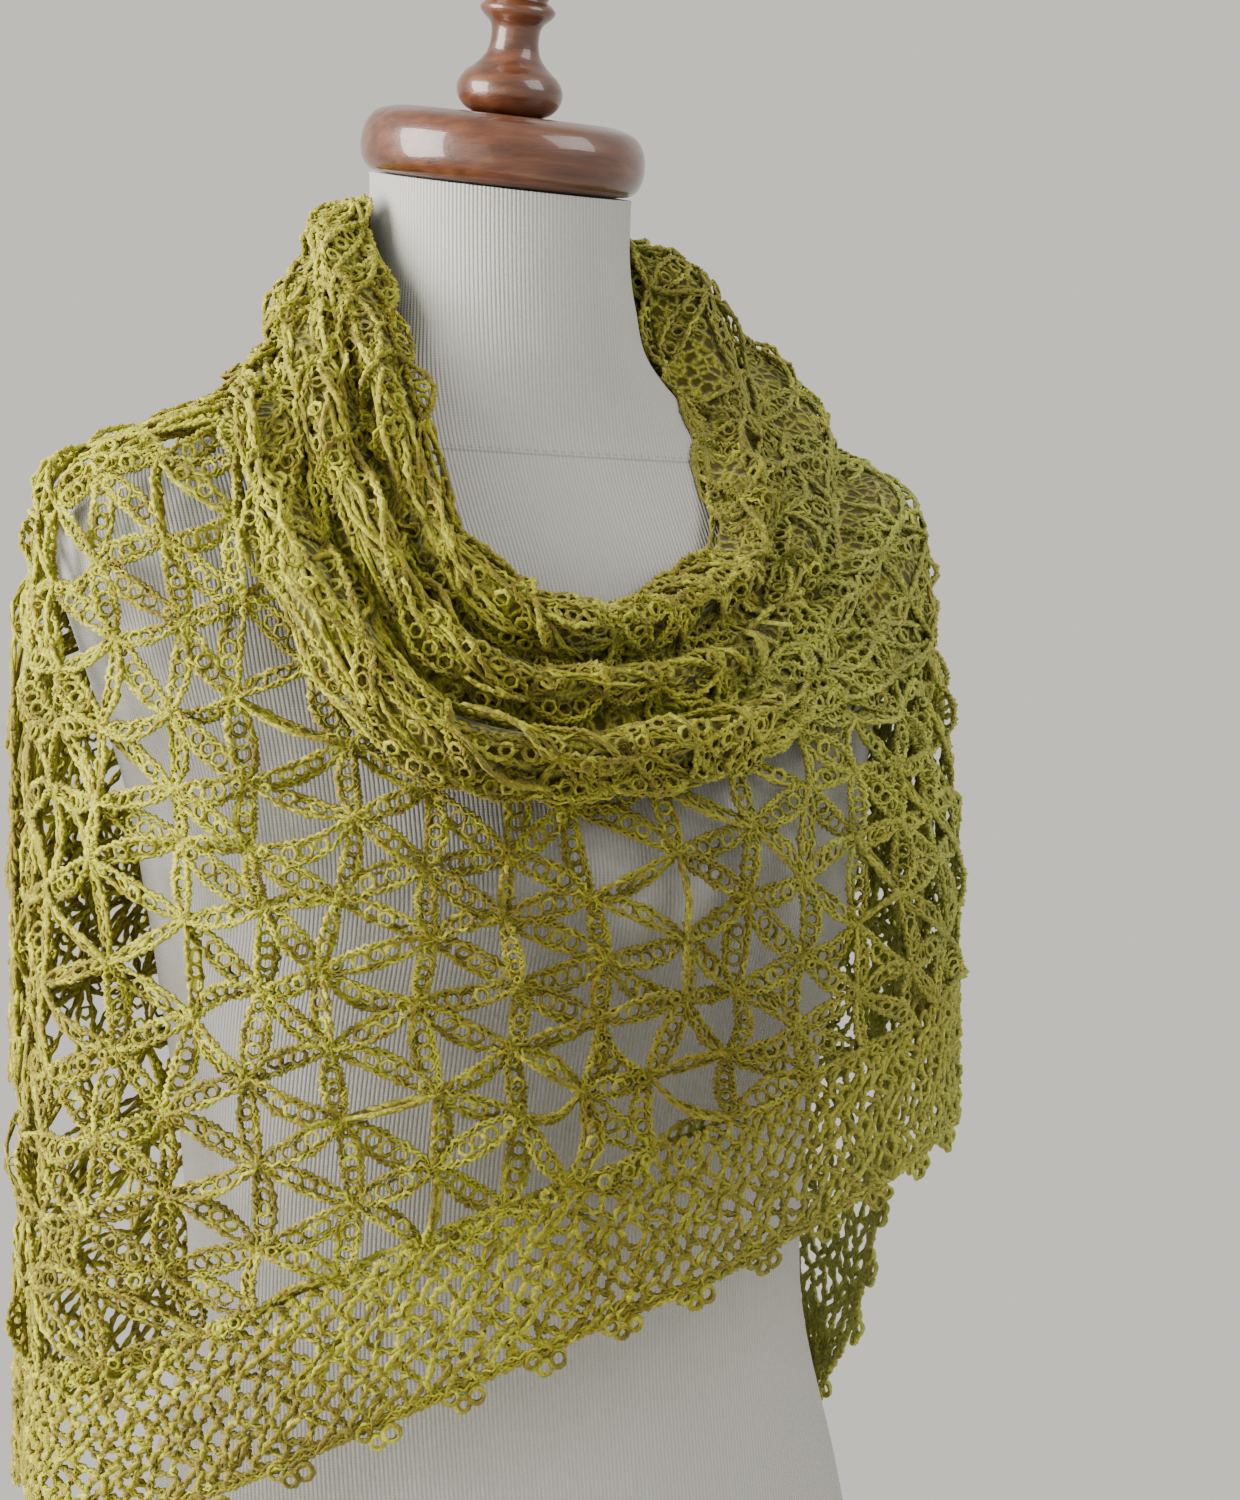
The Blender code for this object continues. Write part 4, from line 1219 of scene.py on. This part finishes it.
def make_depth(name, span):
    """The wraps that lie under the outer lace, as one thin layer painted dark as their shade."""
    cloth = collar_cloth(*span, DEPTH_SINK)
    grid = cloth.points[:, ::2]
    out = cloth.normals[:, ::2]
    along, across = grid.shape[:2]
    points = np.concatenate([(grid + out * way * DEPTH_WALL / 2).reshape(-1, 3) for way in (1, -1)])
    points = lifted(points, FORM_RINGS, FORM_POWER, DEPTH_WALL / 2)
    ids = np.arange(along * across).reshape(along, across)
    cells = np.stack([ids[:-1, :-1], ids[1:, :-1], ids[1:, 1:], ids[:-1, 1:]], -1).reshape(-1, 4)
    rim = np.concatenate([ids[:, 0], ids[-1, 1:], ids[-2::-1, -1], ids[0, -2:0:-1]])
    turned = np.roll(rim, -1)
    count = along * across
    faces = cells.tolist() + (cells[:, ::-1] + count).tolist()
    faces += np.stack([turned, rim, rim + count, turned + count], -1).tolist()
    first = np.cross(grid[1, 0] - grid[0, 0], grid[0, 1] - grid[0, 0])
    if first.dot(out[0, 0]) < 0:
        faces = [face[::-1] for face in faces]
    return skin(name, points.tolist(), faces, DEPTH_FINISH)


def thrown_cloth():
    """The cape's own lattice lines, cut to the thrown end's edges and moved out."""
    columns = fine_steps(*THROWN_SPAN)
    rows = np.arange(-3, ROWS + 0.1, 0.5)
    lines, _ = cape_lines(columns, rows)
    grid = []
    for column, line in zip(columns, lines):
        upper, lower = smooth(THROWN, float(cape_theta(column)) % 360)
        ends = np.interp([-upper, -lower], -line[:, 2], rows)
        across = np.linspace(ends[0], ends[1], THROWN_ROWS * FINE + 1)
        grid.append(np.stack([np.interp(across, rows, line[:, k]) for k in range(3)], -1))
    grid = np.array(grid)
    cloth = Cloth(columns, np.linspace(0, THROWN_ROWS, THROWN_ROWS * FINE + 1), grid)
    cloth.points = cloth.points + cloth.normals * THROWN_OFF_CAPE
    return cloth


def make_thrown():
    """The thrown end's lace and its border on the long and the short edge."""
    cloth = thrown_cloth()
    low, high = THROWN_SPAN
    columns = np.concatenate([[low], np.arange(10.5, 23), [high]])
    nodes, edges = lattice(columns, np.arange(0, THROWN_ROWS - 1), seed=23)
    lace = petals_piece("shawl_thrown_lace", cloth, nodes, edges, 23, LEAVES["thrown"])
    border = Yarn(24)
    top = THROWN_ROWS - THROWN_NET
    add_net(border, cloth, (low, high), (top, THROWN_ROWS), cells=52, rows=10, segments=2)
    for row in (top, THROWN_ROWS - 0.05, THROWN_ROWS):
        add_line(border, cloth, np.linspace(low, high, THROWN_STITCHES[0]), row)
    add_line(border, cloth, high, np.linspace(0, THROWN_ROWS, THROWN_STITCHES[1]))
    add_picots(border, cloth, [((a + b) / 2, THROWN_ROWS) for a, b in zip(columns, columns[1:])], (0, 1))
    add_picots(border, cloth, [(high, row + 0.5) for row in range(THROWN_ROWS)], (1, 0))
    return lace, border.piece("shawl_thrown_border")


def make_hanging():
    """The hanging end: petals above, net and points down to its tip."""
    wide, deep = HANGING_GRID
    heights = np.linspace(*HANGING_SPAN[::-1], deep)
    across = np.linspace(-1, 1, wide)
    points = np.array([hanging_point(side, heights) for side in across])
    rows = np.linspace(0, HANGING_ROWS, deep)
    cloth = Cloth(across, rows, points)
    yarn = Yarn(31)
    columns, petal_rows = HANGING_REPEATS
    nodes, edges = lattice(np.arange(columns + 1), np.arange(petal_rows + 1), seed=31)
    scale = np.array([2 / columns, HANGING_LACE / petal_rows])
    add_petals(yarn, cloth, edges * np.tile(scale, 2) - (1, 0, 1, 0), *LEAVES["hanging"])
    add_nodes(yarn, cloth, nodes * scale - (1, 0))
    net_rows = HANGING_ROWS - HANGING_LACE
    add_net(yarn, cloth, (-1, 1), (HANGING_LACE, HANGING_ROWS), cells=8, rows=net_rows, segments=3)
    for edge in (-1.0, 1.0, -0.94, 0.94):
        add_line(yarn, cloth, edge, np.linspace(0, HANGING_ROWS, HANGING_STITCHES))
    for edge in (-1.0, 1.0):
        add_picots(yarn, cloth, [(edge, row) for row in HANGING_POINTS], (edge, 0))
    add_picots(yarn, cloth, [(0.0, HANGING_ROWS)], (0, 1))
    return yarn.piece("shawl_hanging_lace")


def ridden(piece, slot, *nodes):
    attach(piece, "root")
    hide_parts(*nodes)
    return piece


def dressed(piece, node, with_pieces=()):
    """One stretch of the shawl and the pieces that go with it, attached to the root with its CAD node hidden.
    """
    ridden(piece, "yarn", node)
    for other in with_pieces:
        ridden(other, "yarn", node)
    list(with_pieces)


def main():
    ridden(make_cover(), "jersey", "form_torso")
    ridden(make_turned("form_cap", CAP_PROFILE, SEAM, sides=80, steps=36), "wood", "form_neck_cap")
    above = 2 * SEAM + CAP_PROFILE[-1][1]
    knob = make_turned("form_turned_finial", FINIAL_PROFILE, above, sides=56, steps=70)
    ridden(knob, "wood", "form_finial")

    halves, front_border = make_front()
    back, back_border = make_back()
    thrown, thrown_border = make_thrown()
    cowl = COLLAR_SEAMS
    roll = (cowl[1] + ROLL_GAP, 360 + cowl[0] - ROLL_GAP)
    made = {
        "front_right": halves[0],
        "front_left": halves[1],
        "back": back,
        "cowl_outer": make_collar("shawl_cowl_outer", cowl, (18, 7), 41, LEAVES["cowl_outer"], width=1.1),
        "cowl_inner": make_collar("shawl_cowl_inner", cowl, (13, 6), 43, LEAVES["cowl_inner"], INNER_SINK),
        "cowl_depth": make_depth("shawl_cowl_depth", cowl),
        "roll": make_collar("shawl_roll_lace", roll, (8, 7), 47, LEAVES["roll"]),
        "roll_depth": make_depth("shawl_roll_depth", roll),
        "thrown": thrown,
        "hanging": make_hanging(),
    }
    beside = {"front_right": [front_border], "back": [back_border], "thrown": [thrown_border]}
    for key, node, width, length, area, held, rests in SHEETS:
        dressed(made[key], node, beside.get(key, ()))
    look_at_it()


def lamp(name, place, aim, size, watts, colour):
    light = bpy.data.lights.new(name, "AREA")
    light.shape = "RECTANGLE"
    light.size, light.size_y = size
    light.energy = watts
    light.color = colour
    made = placed(name, light)
    made.location = place
    made.rotation_euler = (Vector(aim) - Vector(place)).to_track_quat("-Z", "Y").to_euler()


def look_at_it():
    """Floor, soft light that comes mostly from the left, and the camera."""
    turn = np.arange(FLOOR_SIDES) * 2 * np.pi / FLOOR_SIDES
    ring = [(FLOOR_RADIUS * np.cos(a), FLOOR_RADIUS * np.sin(a), FLOOR_HEIGHT) for a in turn]
    floor = skin("floor", ring, [tuple(range(FLOOR_SIDES))], pale_finish("pale_floor", FLOOR_COLOUR))

    world = bpy.data.worlds.new("studio")
    bpy.context.scene.world = world
    world.use_nodes = True
    back = world.node_tree.nodes["Background"]
    back.inputs["Color"].default_value = (*SURROUND, 1)
    back.inputs["Strength"].default_value = SURROUND_STRENGTH
    for light in LAMPS:
        lamp(*light)

    lens = bpy.data.cameras.new("camera")
    lens.lens = LENS
    lens.sensor_width = SENSOR
    lens.clip_start, lens.clip_end = 0.05, 20
    eye = placed("camera", lens)
    eye.location = CAMERA_PLACE
    eye.rotation_euler = Vector(CAMERA_AIM).to_track_quat("-Z", "Y").to_euler()
    bpy.context.scene.camera = eye


main()
